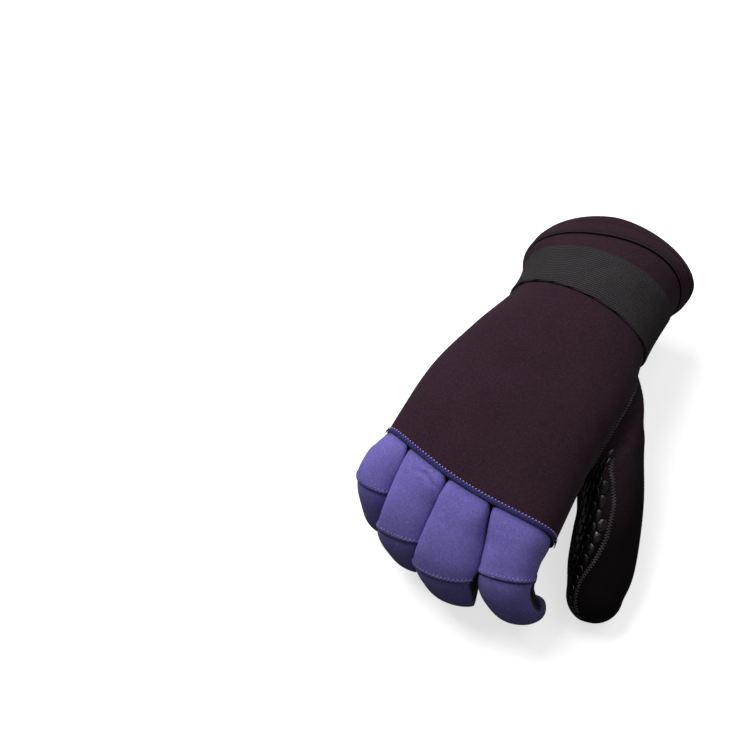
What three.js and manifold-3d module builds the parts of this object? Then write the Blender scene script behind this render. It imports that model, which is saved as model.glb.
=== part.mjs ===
// A right-hand neoprene water glove lying palm down: a dark body of a back panel and a palm
// panel, blue-violet panels over the backs of the fingers, a set-in thumb, a folded cuff hem
// and a webbing wrist strap that closes with a hook patch and a pull tab on the palm side.
// Millimetres, +Z up, fingers towards -Y, thumb towards +X. The glove is hollow and open at the cuff.
import * as THREE from "three";
import { mergeVertices } from "three/addons/utils/BufferGeometryUtils.js";
import Module from "manifold-3d";

const wasm = await Module();
wasm.setup();

// Driving dimensions
const WALL = 3; // neoprene with jersey on both faces
const SEAM_GAP = 0.3; // between panels that are sewn edge to edge
const TIP_GAP = 0.5; // the same round a fingertip's panel, whose edge is drawn in aslant
const FINGER_GAP = 0.5; // between neighbouring fingers where they press together
const FINGER_SOFT = 0.9; // how gently the fingers flatten against one another
const FLOOR_SOFT = 0.6; // how gently the cloth flattens where it lies on the floor
const HEM = { swell: 0.6, wall: 5.2, round: 1.1 }; // the folded hem: a little proud and nearly double
const WEBBING = { rest: 0.45, thick: 1.6 }; // clear of the neoprene
const HOOK_TAPE = { rest: 2.3, thick: 1.4 }; // on the webbing
const TAB = { rest: 0.4, over: 4.0, thick: 2.6 }; // folded webbing, from beside the strap to over the hooks
const STRAP_PLAY = 0.35; // clearance between the strap's pieces, along it
const STRAP_DRIFT = { upper: 0.25, lower: 0.12 }; // rows by which the palm side's strap is wider than its bent cuff
const FOOTPRINT_MIDDLE = { x: 13.25, y: 10.85 }; // middle of the glove's box in the tables' frame

// Sections of the hand from the cuff's edge to the knuckle seam. x, y, z: centre. half: half width.
// top, bottom: heights of the back and of the palm above and below it. yaw, pitch, roll: degrees.
// square: 2 is an ellipse, more is boxier. bow: how far the middle of the section runs to the fingers.
// ball: how much further the section reaches on the thumb's side.
const HAND_COLUMNS = ["x", "y", "z", "half", "top", "bottom", "yaw", "pitch", "roll", "square", "bow", "ball"];
const HAND = {
  hemEdge: [-0.2, 113, 34.5, 47, 33.9, 36.6, 4.5, -22, 9, 1.75, 0, 0],
  hemSeam: [-2, 99.4, 38.5, 45.5, 31, 31, 5.2, -20, 13.9, 2.2, 0, 0],
  strapUpper: [-0.3, 88.3, 42.5, 41.6, 29.6, 27, 1.1, -15, 10.6, 2.05, 0, 0],
  strapLower: [0, 60.5, 48.5, 39.4, 27, 25, -4.5, -8, 8.4, 2, 0, 2.2],
  heel: [-4, 30, 50.5, 44, 25, 24, -1, -4, 5, 2.3, 0, 6.5],
  palm: [-7, -8, 50.5, 48.5, 25, 22, -4, 0, 2, 2.6, 0, 3],
  knuckles: [-5, -55, 48.5, 52, 23, 14.5, -7, 4, 0, 3, 8, 0],
};
const PLACE = Object.fromEntries(Object.keys(HAND).map((name, i) => [name, i]));
const ULNAR_SEAM = 180; // degrees round the hand where back and palm meet on the little-finger side

// Fingers. across: place on the knuckle seam. heading: degrees towards the thumb. proximal, middle,
// distal: lengths to the bends and to the tip's dome. slope0 to slope2: degrees below level before and
// after each bend. twist: how far the curled end turns towards the thumb. root, mid, tip: half widths.
// reach: how much further the curled end bulges on the thumb's side. deep, end: half heights at the middle bend and at the tip. dome: length of the rounded end.
// seam: how far before the middle of the bend the seam between the finger's two back panels lies.
// rise: degrees by which the seam on the thumb's side climbs towards the finger's back at the curled end.
const FINGER_COLUMNS = [
  "across", "heading", "proximal", "middle", "distal", "slope0", "slope1", "slope2", "twist",
  "root", "mid", "tip", "reach", "deep", "end", "dome", "seam", "rise",
];
const FINGERS = {
  little: [-42.8, -4.8, 18.8, 35, 8.9, 14.5, 79, 163, 16, 9, 12.8, 9.1, 0, 11.2, 9.7, 8.7, -3.7, 0],
  ring: [-21, 0, 31.4, 31.2, 8.4, 19, 90, 163, 23, 13.6, 16.8, 10.5, 0, 12.1, 10.6, 9.7, -2.6, 0],
  middle: [5.5, -2.7, 32.4, 29, 7.1, 19.6, 86.5, 162.5, 26.5, 13.4, 17.6, 11.7, 5, 13.1, 11.1, 10, -6, 16],
  index: [34.5, 8.6, 28.5, 25.8, 3.3, 19, 74, 156, 34, 16, 15.1, 10.1, 0, 12.6, 8.1, 10.6, 1.4, 0],
};
const BEND = 25; // length of finger over which each bend is spread
const FRONT_DEPTH = 0.84; // a curled finger is shallower on its front than on its back
const ROOT_BLEND = 22; // length over which a finger leaves the hand's own section
const ROOT_LAP = 3; // the fronts reach this far back into the palm
const SIDE_SEAM = -6; // degrees below a finger's side where its back and front are sewn
const PAD_SEAM = 19; // from the tip's middle down the front to the seam across the pad
const TIP_CAP = { rows: [PAD_SEAM - TIP_GAP / 2, 13, 7, 0], across: 8 }; // the part of it that rounds the finger's end

// Thumb. Rings from the ball to the pad. x, y, z: centre. half: half width towards the index finger.
// thick: half height. roll: degrees. slant: how far the ring's side at the crotch lies nearer the tip.
const THUMB_COLUMNS = ["x", "y", "z", "half", "thick", "roll", "slant"];
const THUMB = {
  ball: [52.8, -0.5, 30, 16.6, 18, -10, 17],
  joint: [61.7, -20, 23.8, 17.1, 16.5, -10, 8],
  shaft: [70.4, -45.8, 16.6, 17.1, 15, -10, 1],
  pad: [74.2, -61, 12.8, 14.3, 13.5, -10, 0],
};
const THUMB_DOME = 14.5; // from the last ring to the thumb's tip
const THUMB_BULGE = 6; // how far the ball stands out beyond the line from the wrist
const THUMB_PULL = { root: 1.3, ring: 0.8 }; // how stiffly the ball leaves the seam and meets the first ring

// The seam round the thumb's root on the hand. from, to: its wrist end and its end at the crotch.
// side, back, palm: degrees round the hand of its ends, and how far it reaches from them.
const THUMB_SEAM = { from: 3.15, to: 5.1, side: -30, back: 34, palm: 53 };

// Rows and columns of the sheets that the panels are made of
const HAND_ACROSS = 14;
const FINGER_ACROSS = 12;
const SEAM_STEPS = 10; // along each branch of the thumb's seam
const THUMB_PLACES = [0, 0.2, 0.45, 0.72, 1, 1.6, 2.3, 3.1, 4];
const DOME_STEPS = 4;

const rad = THREE.MathUtils.degToRad;
const mix = THREE.MathUtils.lerp;
const ease = (x) => THREE.MathUtils.smoothstep(x, 0, 1);
const ramp = (x) => (ease(x) + THREE.MathUtils.clamp(x, 0, 1)) / 2;
const named = (columns, row) => Object.fromEntries(columns.map((name, i) => [name, row[i]]));
const steps = (from, to, count) => Array.from({ length: count + 1 }, (_, i) => from + ((to - from) * i) / count);

// A table's row at any place between its rows, by a Catmull-Rom curve through them.
function between(columns, table, place) {
  const rows = Object.values(table);
  const last = rows.length - 1;
  const t = THREE.MathUtils.clamp(place, 0, last - 1e-9);
  const i = Math.floor(t);
  const f = t - i;
  return named(columns, columns.map((_, c) => {
    const a = rows[i][c];
    const b = rows[i + 1][c];
    const before = i > 0 ? rows[i - 1][c] : 2 * a - b;
    const after = i < last - 1 ? rows[i + 2][c] : 2 * b - a;
    return 0.5 * (2 * a + (b - before) * f + (2 * before - 5 * a + 4 * b - after) * f * f
      + (3 * a - before - 3 * b + after) * f ** 3);
  }));
}

// Across, along and up directions of a section turned by yaw, pitch and roll.
function sectionFrame({ yaw, pitch, roll }) {
  const turn = new THREE.Euler(rad(pitch), -rad(roll), rad(yaw), "ZXY");
  const axis = (x, y, z) => new THREE.Vector3(x, y, z).applyEuler(turn);
  return { across: axis(1, 0, 0), along: axis(0, 1, 0), up: axis(0, 0, 1) };
}

// Place on a rounded section of half size 1: side and height for an angle round it.
function rounded(degrees, square) {
  const c = Math.cos(rad(degrees));
  const s = Math.sin(rad(degrees));
  const k = (Math.abs(c) ** square + Math.abs(s) ** square) ** (-1 / square);
  return { side: k * c, height: k * s };
}

// The floor is z = 0: whatever would lie lower is pressed flat on it. rest is the height that an inner
// face keeps above it.
function onFloor(p, rest = 0) {
  const z = p.z - rest;
  if (z < FLOOR_SOFT) p.z = rest + (z < -FLOOR_SOFT ? 0 : (z + FLOOR_SOFT) ** 2 / (4 * FLOOR_SOFT));
  return p;
}

function handPoint(place, degrees) {
  const row = between(HAND_COLUMNS, HAND, place);
  const { across, along, up } = sectionFrame(row);
  const { side, height } = rounded(degrees, row.square);
  return onFloor(new THREE.Vector3(row.x, row.y, row.z)
    .addScaledVector(across, side * row.half + row.ball * Math.max(0, side) ** 2)
    .addScaledVector(up, height * (height > 0 ? row.top : row.bottom))
    .addScaledVector(along, -row.bow * (1 - side * side)));
}

// A place on the knuckle seam's plane: across the hand, and from -1 at the palm to 1 at the back.
function knucklePoint(across, height) {
  const row = named(HAND_COLUMNS, HAND.knuckles);
  const frame = sectionFrame(row);
  const share = Math.max(0, 1 - Math.abs(across / row.half) ** row.square) ** (1 / row.square);
  const middle = (row.top - row.bottom) / 2;
  return new THREE.Vector3(row.x, row.y, row.z)
    .addScaledVector(frame.across, across)
    .addScaledVector(frame.up, share * (middle + (height * (row.top + row.bottom)) / 2))
    .addScaledVector(frame.along, -row.bow * (1 - (across / row.half) ** 2));
}

// A finger's centreline is worked out step by step from its slopes.
function makeFinger(row) {
  const h = rad(row.heading);
  const ahead = new THREE.Vector3(Math.sin(h), -Math.cos(h), 0);
  const level = new THREE.Vector3(Math.cos(h), Math.sin(h), 0);
  const upright = new THREE.Vector3(0, 0, 1);
  const turned = (a, b, angle) => a.clone().multiplyScalar(Math.cos(angle)).addScaledVector(b, Math.sin(angle));
  const directions = (s) => {
    const slope = rad(row.slope0
      + (row.slope1 - row.slope0) * ramp((s - row.proximal) / BEND + 0.5)
      + (row.slope2 - row.slope1) * ramp((s - row.proximal - row.middle) / BEND + 0.5));
    const twist = rad(row.twist * ease((s / row.proximal - 0.6) / 0.9));
    const across = turned(level, upright, twist);
    const plumb = turned(upright, level, -twist);
    return { across, along: turned(ahead, plumb, -slope), back: turned(plumb, ahead, slope) };
  };
  const length = row.proximal + row.middle + row.distal;
  const top = knucklePoint(row.across, 1);
  const rootHalf = top.distanceTo(knucklePoint(row.across, -1)) / 2;
  const line = [top.addScaledVector(directions(0).back, -rootHalf)];
  for (let s = 0.25; s < length; s += 0.5) line.push(line.at(-1).clone().addScaledVector(directions(s).along, 0.5));
  const centre = (s) => {
    const i = THREE.MathUtils.clamp(Math.floor(s * 2), 0, line.length - 2);
    return line[i].clone().addScaledVector(line[i + 1].clone().sub(line[i]), s * 2 - i);
  };
  return { ...row, length, rootHalf, directions, centre, slots: [] };
}

const fingerNames = Object.keys(FINGERS);
const fingers = fingerNames.map((name) => makeFinger(named(FINGER_COLUMNS, FINGERS[name])));

// Upright planes between neighbouring fingers, from the slot on the knuckle seam to between the bends.
for (let i = 1; i < fingers.length; i++) {
  const [a, b] = [fingers[i - 1], fingers[i]];
  const origin = knucklePoint((a.across + a.root + b.across - b.root) / 2, 1);
  const half = a.mid + a.reach * 0.8;
  const far = a.centre(a.proximal).lerp(b.centre(b.proximal), half / (half + b.mid));
  const run = far.sub(origin).setZ(0).normalize();
  const away = new THREE.Vector3(run.y, -run.x, 0);
  a.slots.push({ origin, away: away.clone() });
  b.slots.push({ origin, away: away.clone().negate() });
}

// Neighbouring fingers press flat against the plane between them. web closes the slot at its root.
function pressed(finger, p, web, inset) {
  for (const { origin, away } of finger.slots) {
    const room = p.clone().sub(origin).dot(away) - mix(FINGER_GAP, -FINGER_GAP, web) / 2 - inset;
    p.addScaledVector(away, (Math.hypot(room, FINGER_SOFT) - room) / 2);
  }
  return p;
}

// A finger's root follows the knuckle seam, rounded off into the slots beside it.
function fingerRoot(finger, degrees, inset) {
  const { side, height } = rounded(degrees, 8);
  return knucklePoint(finger.across + (finger.root - inset) * side, height * (1 - inset / finger.rootHalf));
}

// A place on a finger's tube. s runs along its centreline, shrink narrows the section, and inset
// leads to the inner face of the wall.
function fingerTube(finger, s, degrees, shrink, inset) {
  const { across, along, back } = finger.directions(s);
  const q = Math.max(0, s) / finger.proximal;
  const far = Math.max(0, (s - finger.proximal) / (finger.length - finger.proximal));
  const half = q < 1 ? mix(finger.root, finger.mid, ease(q * 1.6)) : mix(finger.mid, finger.tip, far);
  const deep = q < 1 ? mix(finger.rootHalf, finger.deep, ease(q)) : mix(finger.deep, finger.end, far);
  const section = (angle, h, d, square, front) => {
    const { side, height } = rounded(angle, square);
    const wide = side * (h - inset) + finger.reach * ease((s / finger.proximal - 0.3) / 0.7) * Math.max(0, side) ** 2;
    return across.clone().multiplyScalar(wide * shrink)
      .addScaledVector(back, height * shrink * (d * (height > 0 ? 1 : front) - inset));
  };
  const p = finger.centre(Math.min(s, finger.length))
    .addScaledVector(back, (finger.rootHalf - deep) * 0.6 * (1 - ease(q)))
    .add(section(degrees, half, deep, mix(4.5, 2.4, ease(q * 1.6)), mix(1, FRONT_DEPTH, ease(q * 1.6))));
  if (s >= ROOT_BLEND) return p;
  const plain = finger.centre(0).add(section(degrees, finger.root, finger.rootHalf, 4.5, 1));
  const root = fingerRoot(finger, degrees, inset).sub(plain);
  return p.addScaledVector(root, 1 - ease(s / ROOT_BLEND));
}

// A place on a finger, r being the distance from the tip's middle over its dome and up its side.
// The seam on the thumb's side is drawn up by the finger's rise, and the panels beside it follow.
function fingerPoint(finger, r, angle, inset = 0) {
  const dome = (finger.dome * Math.PI) / 2;
  const s = finger.length - (r - dome);
  const round = (angle - SIDE_SEAM + 360) % 360;
  const backSpan = 180 - 2 * SIDE_SEAM;
  const share = round < backSpan ? 1 - round / backSpan : (round - backSpan) / (360 - backSpan);
  const degrees = angle + finger.rise * share * ease((s - finger.proximal + 12) / 22) * ease(r / PAD_SEAM);
  const web = (1 - ease(s / 12)) * ease((-8 - SIDE_SEAM - 60 * Math.sin(rad(degrees))) / 20);
  if (r >= dome) return onFloor(pressed(finger, fingerTube(finger, s, degrees, 1, inset), web, inset), inset);
  const bend = r / finger.dome;
  const p = fingerTube(finger, finger.length, degrees, Math.sin(bend), inset)
    .addScaledVector(finger.directions(finger.length).along, (finger.dome - inset) * Math.cos(bend));
  return onFloor(pressed(finger, p, 0, inset), inset);
}
const fromTip = (finger, s) => finger.length - s + (finger.dome * Math.PI) / 2;
const panelSeam = (finger) => fromTip(finger, finger.proximal - finger.seam);

// The seam round the thumb's root: 0 degrees at the crotch, 90 on the back, 180 at the wrist.
const archedReach = (reach, x) => reach * Math.sqrt(Math.max(0, 1 - x * x));
function thumbSeam(degrees) {
  const { from, to, side, back, palm } = THUMB_SEAM;
  const c = Math.cos(rad(degrees));
  const reach = Math.sin(rad(degrees)) > 0 ? back : -palm;
  return { place: mix(from, to, (1 + c) / 2), angle: side + archedReach(reach, c) };
}
function radialEdge(place, reach) {
  const { from, to, side } = THUMB_SEAM;
  return side + archedReach(reach, (2 * (place - from)) / (to - from) - 1);
}

// A ring of the thumb's own tube. far counts the table's rows, then degrees over the dome.
function thumbRing(far, degrees, bend = Math.PI / 2) {
  const row = between(THUMB_COLUMNS, THUMB, far);
  const near = between(THUMB_COLUMNS, THUMB, far - 0.05);
  const next = between(THUMB_COLUMNS, THUMB, far + 0.05);
  const along = new THREE.Vector3(next.x - near.x, next.y - near.y, next.z - near.z).normalize();
  const across = new THREE.Vector3(Math.cos(rad(row.roll)), 0, Math.sin(rad(row.roll)));
  across.addScaledVector(along, -across.dot(along)).normalize();
  const up = new THREE.Vector3().crossVectors(across, along).multiplyScalar(-1);
  if (up.z < 0) up.negate();
  const point = new THREE.Vector3(row.x, row.y, row.z)
    .addScaledVector(along, THUMB_DOME * Math.cos(bend) + row.slant * Math.cos(rad(degrees)))
    .addScaledVector(across, -row.half * Math.cos(rad(degrees)) * Math.sin(bend))
    .addScaledVector(up, row.thick * Math.sin(rad(degrees)) * Math.sin(bend));
  return { point, along };
}

// The thumb runs from its seam on the hand over the ball to its first ring, then to the tip.
// far is 0 on the seam and 1 on the first ring. It counts rings to the last, then runs 1 over the dome.
function thumbPoint(far, degrees) {
  const rings = Object.keys(THUMB).length;
  if (far >= rings) return onFloor(thumbRing(rings - 1, degrees, ((rings + 1 - far) * Math.PI) / 2).point);
  if (far >= 1) return onFloor(thumbRing(far - 1, degrees).point);
  const { place, angle } = thumbSeam(degrees);
  const start = handPoint(place, angle);
  const { point: end, along } = thumbRing(0, degrees);
  const a = handPoint(place + 0.02, angle).sub(handPoint(place - 0.02, angle));
  const b = handPoint(place, angle + 1).sub(handPoint(place, angle - 1));
  const normal = a.cross(b).normalize();
  const inward = handPoint(mix(THUMB_SEAM.from, THUMB_SEAM.to, 0.5), THUMB_SEAM.side - 20).sub(start);
  inward.addScaledVector(normal, -inward.dot(normal)).normalize();
  const reach = start.distanceTo(end);
  const f = far;
  return onFloor(start.multiplyScalar(2 * f ** 3 - 3 * f * f + 1)
    .addScaledVector(inward, (f ** 3 - 2 * f * f + f) * reach * THUMB_PULL.root)
    .addScaledVector(end, 3 * f * f - 2 * f ** 3)
    .addScaledVector(along, (f ** 3 - f * f) * reach * THUMB_PULL.ring)
    .addScaledVector(normal, -THUMB_BULGE * ((1 - Math.cos(rad(degrees))) / 2) * 6.75 * f * (1 - f) ** 2));
}

// A closed solid from a sheet: a grid of places with a wall along its normals. faces gives the
// heights of its outer and inner face, inside gives the inner face's places instead, closed joins
// the first and last column, pole ends the rows in one point, keep leaves cells of the grid out,
// and each of the grid's open edges is drawn in by half of gap.
function sheet(place, us, vs, options = {}) {
  const { faces = () => [0, -WALL], inside = null, closed = false, pole = false } = options;
  const { keep = () => true, gap = SEAM_GAP } = options;
  const columns = closed ? us.length - 1 : us.length;
  const rows = pole ? vs.length - 1 : vs.length;
  const du = (us.at(-1) - us[0]) * 1e-3;
  const dv = (vs.at(-1) - vs[0]) * 1e-3;
  const normalAt = (u, v) => place(u + du, v).sub(place(u - du, v))
    .cross(place(u, v + dv).sub(place(u, v - dv))).normalize();
  const outward = outwardSign(place, us, vs, normalAt);
  const drawn = (surface, i, j) => {
    const p = surface(us[i], vs[j]);
    const drawIn = (q) => p.addScaledVector(q.sub(p).normalize(), gap / 2);
    if (!closed && i === 0) drawIn(surface(us[1], vs[j]));
    if (!closed && i === columns - 1) drawIn(surface(us[i - 1], vs[j]));
    if (j === 0) drawIn(surface(us[i], vs[1]));
    if (!pole && j === rows - 1) drawIn(surface(us[i], vs[j - 1]));
    return p;
  };
  const points = [[], []];
  const put = (i, j, n) => {
    const p = drawn(place, i, j);
    const [outer, inner] = faces(us[i], vs[j]);
    points[0].push(p.clone().addScaledVector(n, outer));
    points[1].push(inside ? drawn(inside, i, j) : p.addScaledVector(n, inner));
  };
  for (let j = 0; j < rows; j++) {
    for (let i = 0; i < columns; i++) put(i, j, normalAt(us[i], vs[j]).multiplyScalar(outward));
  }
  if (pole) {
    const before = mix(vs.at(-1), vs.at(-2), 0.2);
    const n = new THREE.Vector3();
    for (let i = 0; i < columns; i++) n.add(normalAt(us[i], before));
    put(0, rows, n.normalize().multiplyScalar(outward));
  }
  const at = (i, j) => (j === rows ? rows * columns : j * columns + (i % columns));
  const triangles = [];
  for (let j = 0; j < vs.length - 1; j++) {
    for (let i = 0; i < us.length - 1; i++) {
      if (!keep(i, j)) continue;
      triangles.push([at(i, j), at(i + 1, j), at(i + 1, j + 1)]);
      if (j < rows - 1) triangles.push([at(i, j), at(i + 1, j + 1), at(i, j + 1)]);
    }
  }
  return walled(points, outward > 0 ? triangles : triangles.map((t) => t.reverse()));
}

// The outer triangles, the inner ones behind them, and a rim along each edge that only one of them has.
function walled([outer, inner], triangles) {
  const behind = outer.length;
  const edges = triangles.flatMap(([a, b, c]) => [[a, b], [b, c], [c, a]]);
  const known = new Set(edges.map(([a, b]) => `${a} ${b}`));
  const rims = edges.filter(([a, b]) => !known.has(`${b} ${a}`))
    .flatMap(([a, b]) => (a < b
      ? [a, a + behind, b + behind, a, b + behind, b]
      : [b, a, a + behind, b, a + behind, b + behind]));
  const insides = triangles.flatMap(([a, b, c]) => [a + behind, c + behind, b + behind]);
  const corners = [...triangles.flat(), ...insides, ...rims];
  const used = [...new Set(corners)];
  const places = new Map(used.map((corner, i) => [corner, i]));
  const points = [...outer, ...inner];
  return new THREE.BufferGeometry()
    .setFromPoints(used.map((corner) => points[corner]))
    .setIndex(corners.map((corner) => places.get(corner)));
}

// 1 where a grid's own normals point away from its hollow side, else -1.
function outwardSign(place, us, vs, normalAt) {
  const inner = [us.slice(1, -1), vs.slice(1, -1)];
  const samples = inner[0].flatMap((u) => inner[1].map((v) => ({ p: place(u, v), n: normalAt(u, v) })));
  const middle = new THREE.Vector3();
  for (const { p } of samples) middle.addScaledVector(p, 1 / samples.length);
  return Math.sign(samples.reduce((sum, { p, n }) => sum + p.sub(middle).dot(n), 0));
}

function solidOf(geometry) {
  const merged = mergeVertices(geometry, 1e-4);
  return new wasm.Manifold(new wasm.Mesh({
    numProp: 3,
    vertProperties: new Float32Array(merged.getAttribute("position").array),
    triVerts: new Uint32Array(merged.index.array),
  }));
}

function geometryOf(solid) {
  const mesh = solid.getMesh();
  return new THREE.BufferGeometry()
    .setAttribute("position", new THREE.BufferAttribute(new Float32Array(mesh.vertProperties), 3))
    .setIndex(new THREE.BufferAttribute(new Uint32Array(mesh.triVerts), 1));
}

// Materials
const neoprene = new THREE.MeshStandardMaterial({ color: 0x2a1c25, roughness: 0.9, metalness: 0 });
const fingerNeoprene = new THREE.MeshStandardMaterial({ color: 0x544a9c, roughness: 0.9, metalness: 0 });
const gripNeoprene = new THREE.MeshStandardMaterial({ color: 0x1c181c, roughness: 0.5, metalness: 0 });
const webbing = new THREE.MeshStandardMaterial({ color: 0x2e2d2f, roughness: 0.85, metalness: 0 });
const hookTape = new THREE.MeshStandardMaterial({ color: 0x1a1a1b, roughness: 0.8, metalness: 0 });

const glove = new THREE.Group();
glove.position.set(-FOOTPRINT_MIDDLE.x, -FOOTPRINT_MIDDLE.y, 0);

function add(name, geometry, material) {
  const mesh = new THREE.Mesh(geometry, material.clone());
  mesh.name = name;
  glove.add(mesh);
}

// Rows of the hand's panels. Along the strap and the thumb's root they are the rows of those pieces.
const strapRows = steps(PLACE.strapUpper, PLACE.strapLower, 4);
const handRows = [
  ...steps(PLACE.hemSeam, PLACE.strapUpper, 3).slice(0, -1),
  ...strapRows,
  ...steps(180, 0, SEAM_STEPS).map((degrees) => thumbSeam(degrees).place),
  ...steps(THUMB_SEAM.to, PLACE.knuckles, 2).slice(1),
];

// Back of the hand and cuff
add("back_panel", sheet(
  (u, v) => handPoint(v, mix(radialEdge(v, THUMB_SEAM.back), ULNAR_SEAM, u)),
  steps(0, 1, HAND_ACROSS), handRows,
), neoprene);

// The room that the back panel takes up at the knuckle seam, cut out of whatever starts there
const knuckleCut = solidOf(sheet((u, v) => {
  const p = handPoint(v, u);
  if (v <= PLACE.knuckles) return p;
  const ahead = handPoint(PLACE.knuckles, u).sub(handPoint(PLACE.knuckles - 0.02, u)).normalize();
  return p.addScaledVector(ahead, v - PLACE.knuckles);
}, [THUMB_SEAM.side - 0.5, ...steps(THUMB_SEAM.side, ULNAR_SEAM, HAND_ACROSS), ULNAR_SEAM + 0.5], [
  PLACE.knuckles - 0.2, PLACE.knuckles - 0.1, PLACE.knuckles + SEAM_GAP,
], { faces: () => [1.5, -4.5], gap: 0 }));

// Palm, cuff and the fronts of the four fingers, cut as one piece
const palm = solidOf(sheet(
  (u, v) => handPoint(v, mix(ULNAR_SEAM - 360, radialEdge(v, -THUMB_SEAM.palm), u)),
  steps(0, 1, HAND_ACROSS), handRows,
));
const tipRows = (finger) => steps(PAD_SEAM, panelSeam(finger), 6);
const rootRows = (finger) => steps(panelSeam(finger), fromTip(finger, 0), 6);
const fronts = fingers.map((finger) => solidOf(sheet(
  (degrees, r) => fingerPoint(finger, r, degrees),
  steps(180 - SIDE_SEAM, 360 + SIDE_SEAM, FINGER_ACROSS - 2),
  [...tipRows(finger), ...rootRows(finger).slice(1), fromTip(finger, -ROOT_LAP)],
  { inside: (degrees, r) => fingerPoint(finger, r, degrees, WALL) },
)).subtract(knuckleCut));
add("palm_panel", geometryOf(fronts.reduce((whole, front) => whole.add(front), palm)), gripNeoprene);

// Backs of the fingers: one panel to the middle bend, and one from there over the tip to its pad
fingers.forEach((finger, i) => {
  const back = solidOf(sheet(
    (degrees, r) => fingerPoint(finger, r, degrees),
    steps(SIDE_SEAM, 180 - SIDE_SEAM, FINGER_ACROSS), rootRows(finger),
    { inside: (degrees, r) => fingerPoint(finger, r, degrees, WALL) },
  ));
  add(`finger_back_${fingerNames[i]}`, geometryOf(back.subtract(knuckleCut)), fingerNeoprene);
  const drawnIn = 1 - TIP_GAP / 2 / rad(90 - SIDE_SEAM) / finger.mid;
  const tip = (inset) => (degrees, r) => fingerPoint(
    finger, r, r > PAD_SEAM ? 90 + (degrees - 90) * drawnIn : degrees, inset,
  );
  const rows = [...tipRows(finger).slice(1).reverse(), ...TIP_CAP.rows];
  rows[0] -= TIP_GAP / 2;
  add(`fingertip_${fingerNames[i]}`, sheet(
    tip(0),
    [
      ...steps(SIDE_SEAM, 180 - SIDE_SEAM, FINGER_ACROSS),
      ...steps(180 - SIDE_SEAM, 360 + SIDE_SEAM, TIP_CAP.across).slice(1),
    ],
    rows,
    {
      inside: tip(WALL), closed: true, pole: true, gap: 0,
      keep: (across, along) => across < FINGER_ACROSS || rows[along] < PAD_SEAM,
    },
  ), fingerNeoprene);
});

// Cuff hem, folded back on itself and a little flared
const HEM_ROWS = [0, 0.04, 0.12, 0.3, 0.6, 1];
add("cuff_hem", sheet(
  (degrees, v) => handPoint(v, degrees),
  steps(0, 360, 2 * HAND_ACROSS), HEM_ROWS,
  {
    closed: true,
    faces: (_, v) => {
      const rounding = HEM.round * (1 - ease(v / 0.12)) + HEM.swell * ease((v - 0.75) / 0.25);
      return [HEM.swell - rounding, HEM.swell - HEM.wall + rounding];
    },
  },
), neoprene);

// Wrist strap: a webbing band with a gap on the palm side, where its two ends fasten
const STRAP_MIDDLE = mix(PLACE.strapUpper, PLACE.strapLower, 0.5);
function strapAngle(distance) {
  let angle = ULNAR_SEAM;
  for (let run = 0; run < distance; angle++) {
    run += handPoint(STRAP_MIDDLE, angle).distanceTo(handPoint(STRAP_MIDDLE, angle + 1));
  }
  return angle;
}
function strapPoint(degrees, place) {
  const palmSide = ((1 - Math.sin(rad(degrees))) / 2) ** 2;
  return handPoint(place + palmSide * mix(-STRAP_DRIFT.upper, STRAP_DRIFT.lower, place - PLACE.strapUpper), degrees);
}
const strapSheet = (from, to, count, faces) => sheet(
  strapPoint, steps(from, to, count), strapRows, { faces, gap: STRAP_PLAY },
);
const CLOSURE = { strapEnd: strapAngle(8), tabEnd: strapAngle(27), webStart: strapAngle(18), hookEnd: strapAngle(50) };
add("wrist_strap", strapSheet(
  CLOSURE.webStart - 360, CLOSURE.strapEnd, 30, () => [WEBBING.rest + WEBBING.thick, WEBBING.rest],
), webbing);
add("hook_patch", strapSheet(
  CLOSURE.webStart, CLOSURE.hookEnd, 5, () => [HOOK_TAPE.rest + HOOK_TAPE.thick, HOOK_TAPE.rest],
), hookTape);
add("strap_tab", strapSheet(CLOSURE.strapEnd, CLOSURE.tabEnd, 6, (degrees) => {
  const rest = mix(TAB.rest, TAB.over, ease((degrees - CLOSURE.strapEnd) / (CLOSURE.webStart - CLOSURE.strapEnd)));
  return [rest + TAB.thick, rest];
}), webbing);

// Thumb, one piece folded round and sewn along its inner side
add("thumb", sheet(
  (degrees, far) => thumbPoint(far, degrees),
  steps(0, 360, 2 * SEAM_STEPS), [...THUMB_PLACES, ...steps(4, 5, DOME_STEPS).slice(1)],
  { closed: true, pole: true },
), gripNeoprene);

export default glove;
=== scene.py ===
"""The looks of a right-hand neoprene water glove that lies palm down on a pale floor.

The panels are the same surfaces as the solids', worked out much finer, with seams, stitches,
folds, a raised grip print, ribbed webbing and a hook-and-loop closure. Sizes are millimetres
until a mesh is made. +Z is up, the fingers point to -Y and the thumb to +X.
"""
from functools import partial

import bpy
import numpy as np
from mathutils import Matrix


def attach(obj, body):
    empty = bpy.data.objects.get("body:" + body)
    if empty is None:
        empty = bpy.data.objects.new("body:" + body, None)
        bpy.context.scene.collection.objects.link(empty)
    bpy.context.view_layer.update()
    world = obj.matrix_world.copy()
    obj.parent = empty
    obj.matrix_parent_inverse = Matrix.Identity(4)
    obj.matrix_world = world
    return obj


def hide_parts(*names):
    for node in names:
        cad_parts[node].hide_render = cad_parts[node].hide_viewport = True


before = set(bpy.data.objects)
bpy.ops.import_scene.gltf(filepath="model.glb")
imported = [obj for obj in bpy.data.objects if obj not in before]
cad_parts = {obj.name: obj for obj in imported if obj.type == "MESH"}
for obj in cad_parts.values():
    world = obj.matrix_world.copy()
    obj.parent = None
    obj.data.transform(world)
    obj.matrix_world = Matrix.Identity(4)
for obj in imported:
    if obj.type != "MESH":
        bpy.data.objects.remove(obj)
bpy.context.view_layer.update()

# Sizes shared with the solids
WALL = 3.0                       # neoprene with jersey on both faces
SEAM_GAP = 0.12                  # between panels that are sewn edge to edge
FINGER_GAP = 0.15                # between neighbouring fingers where they press together
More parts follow.
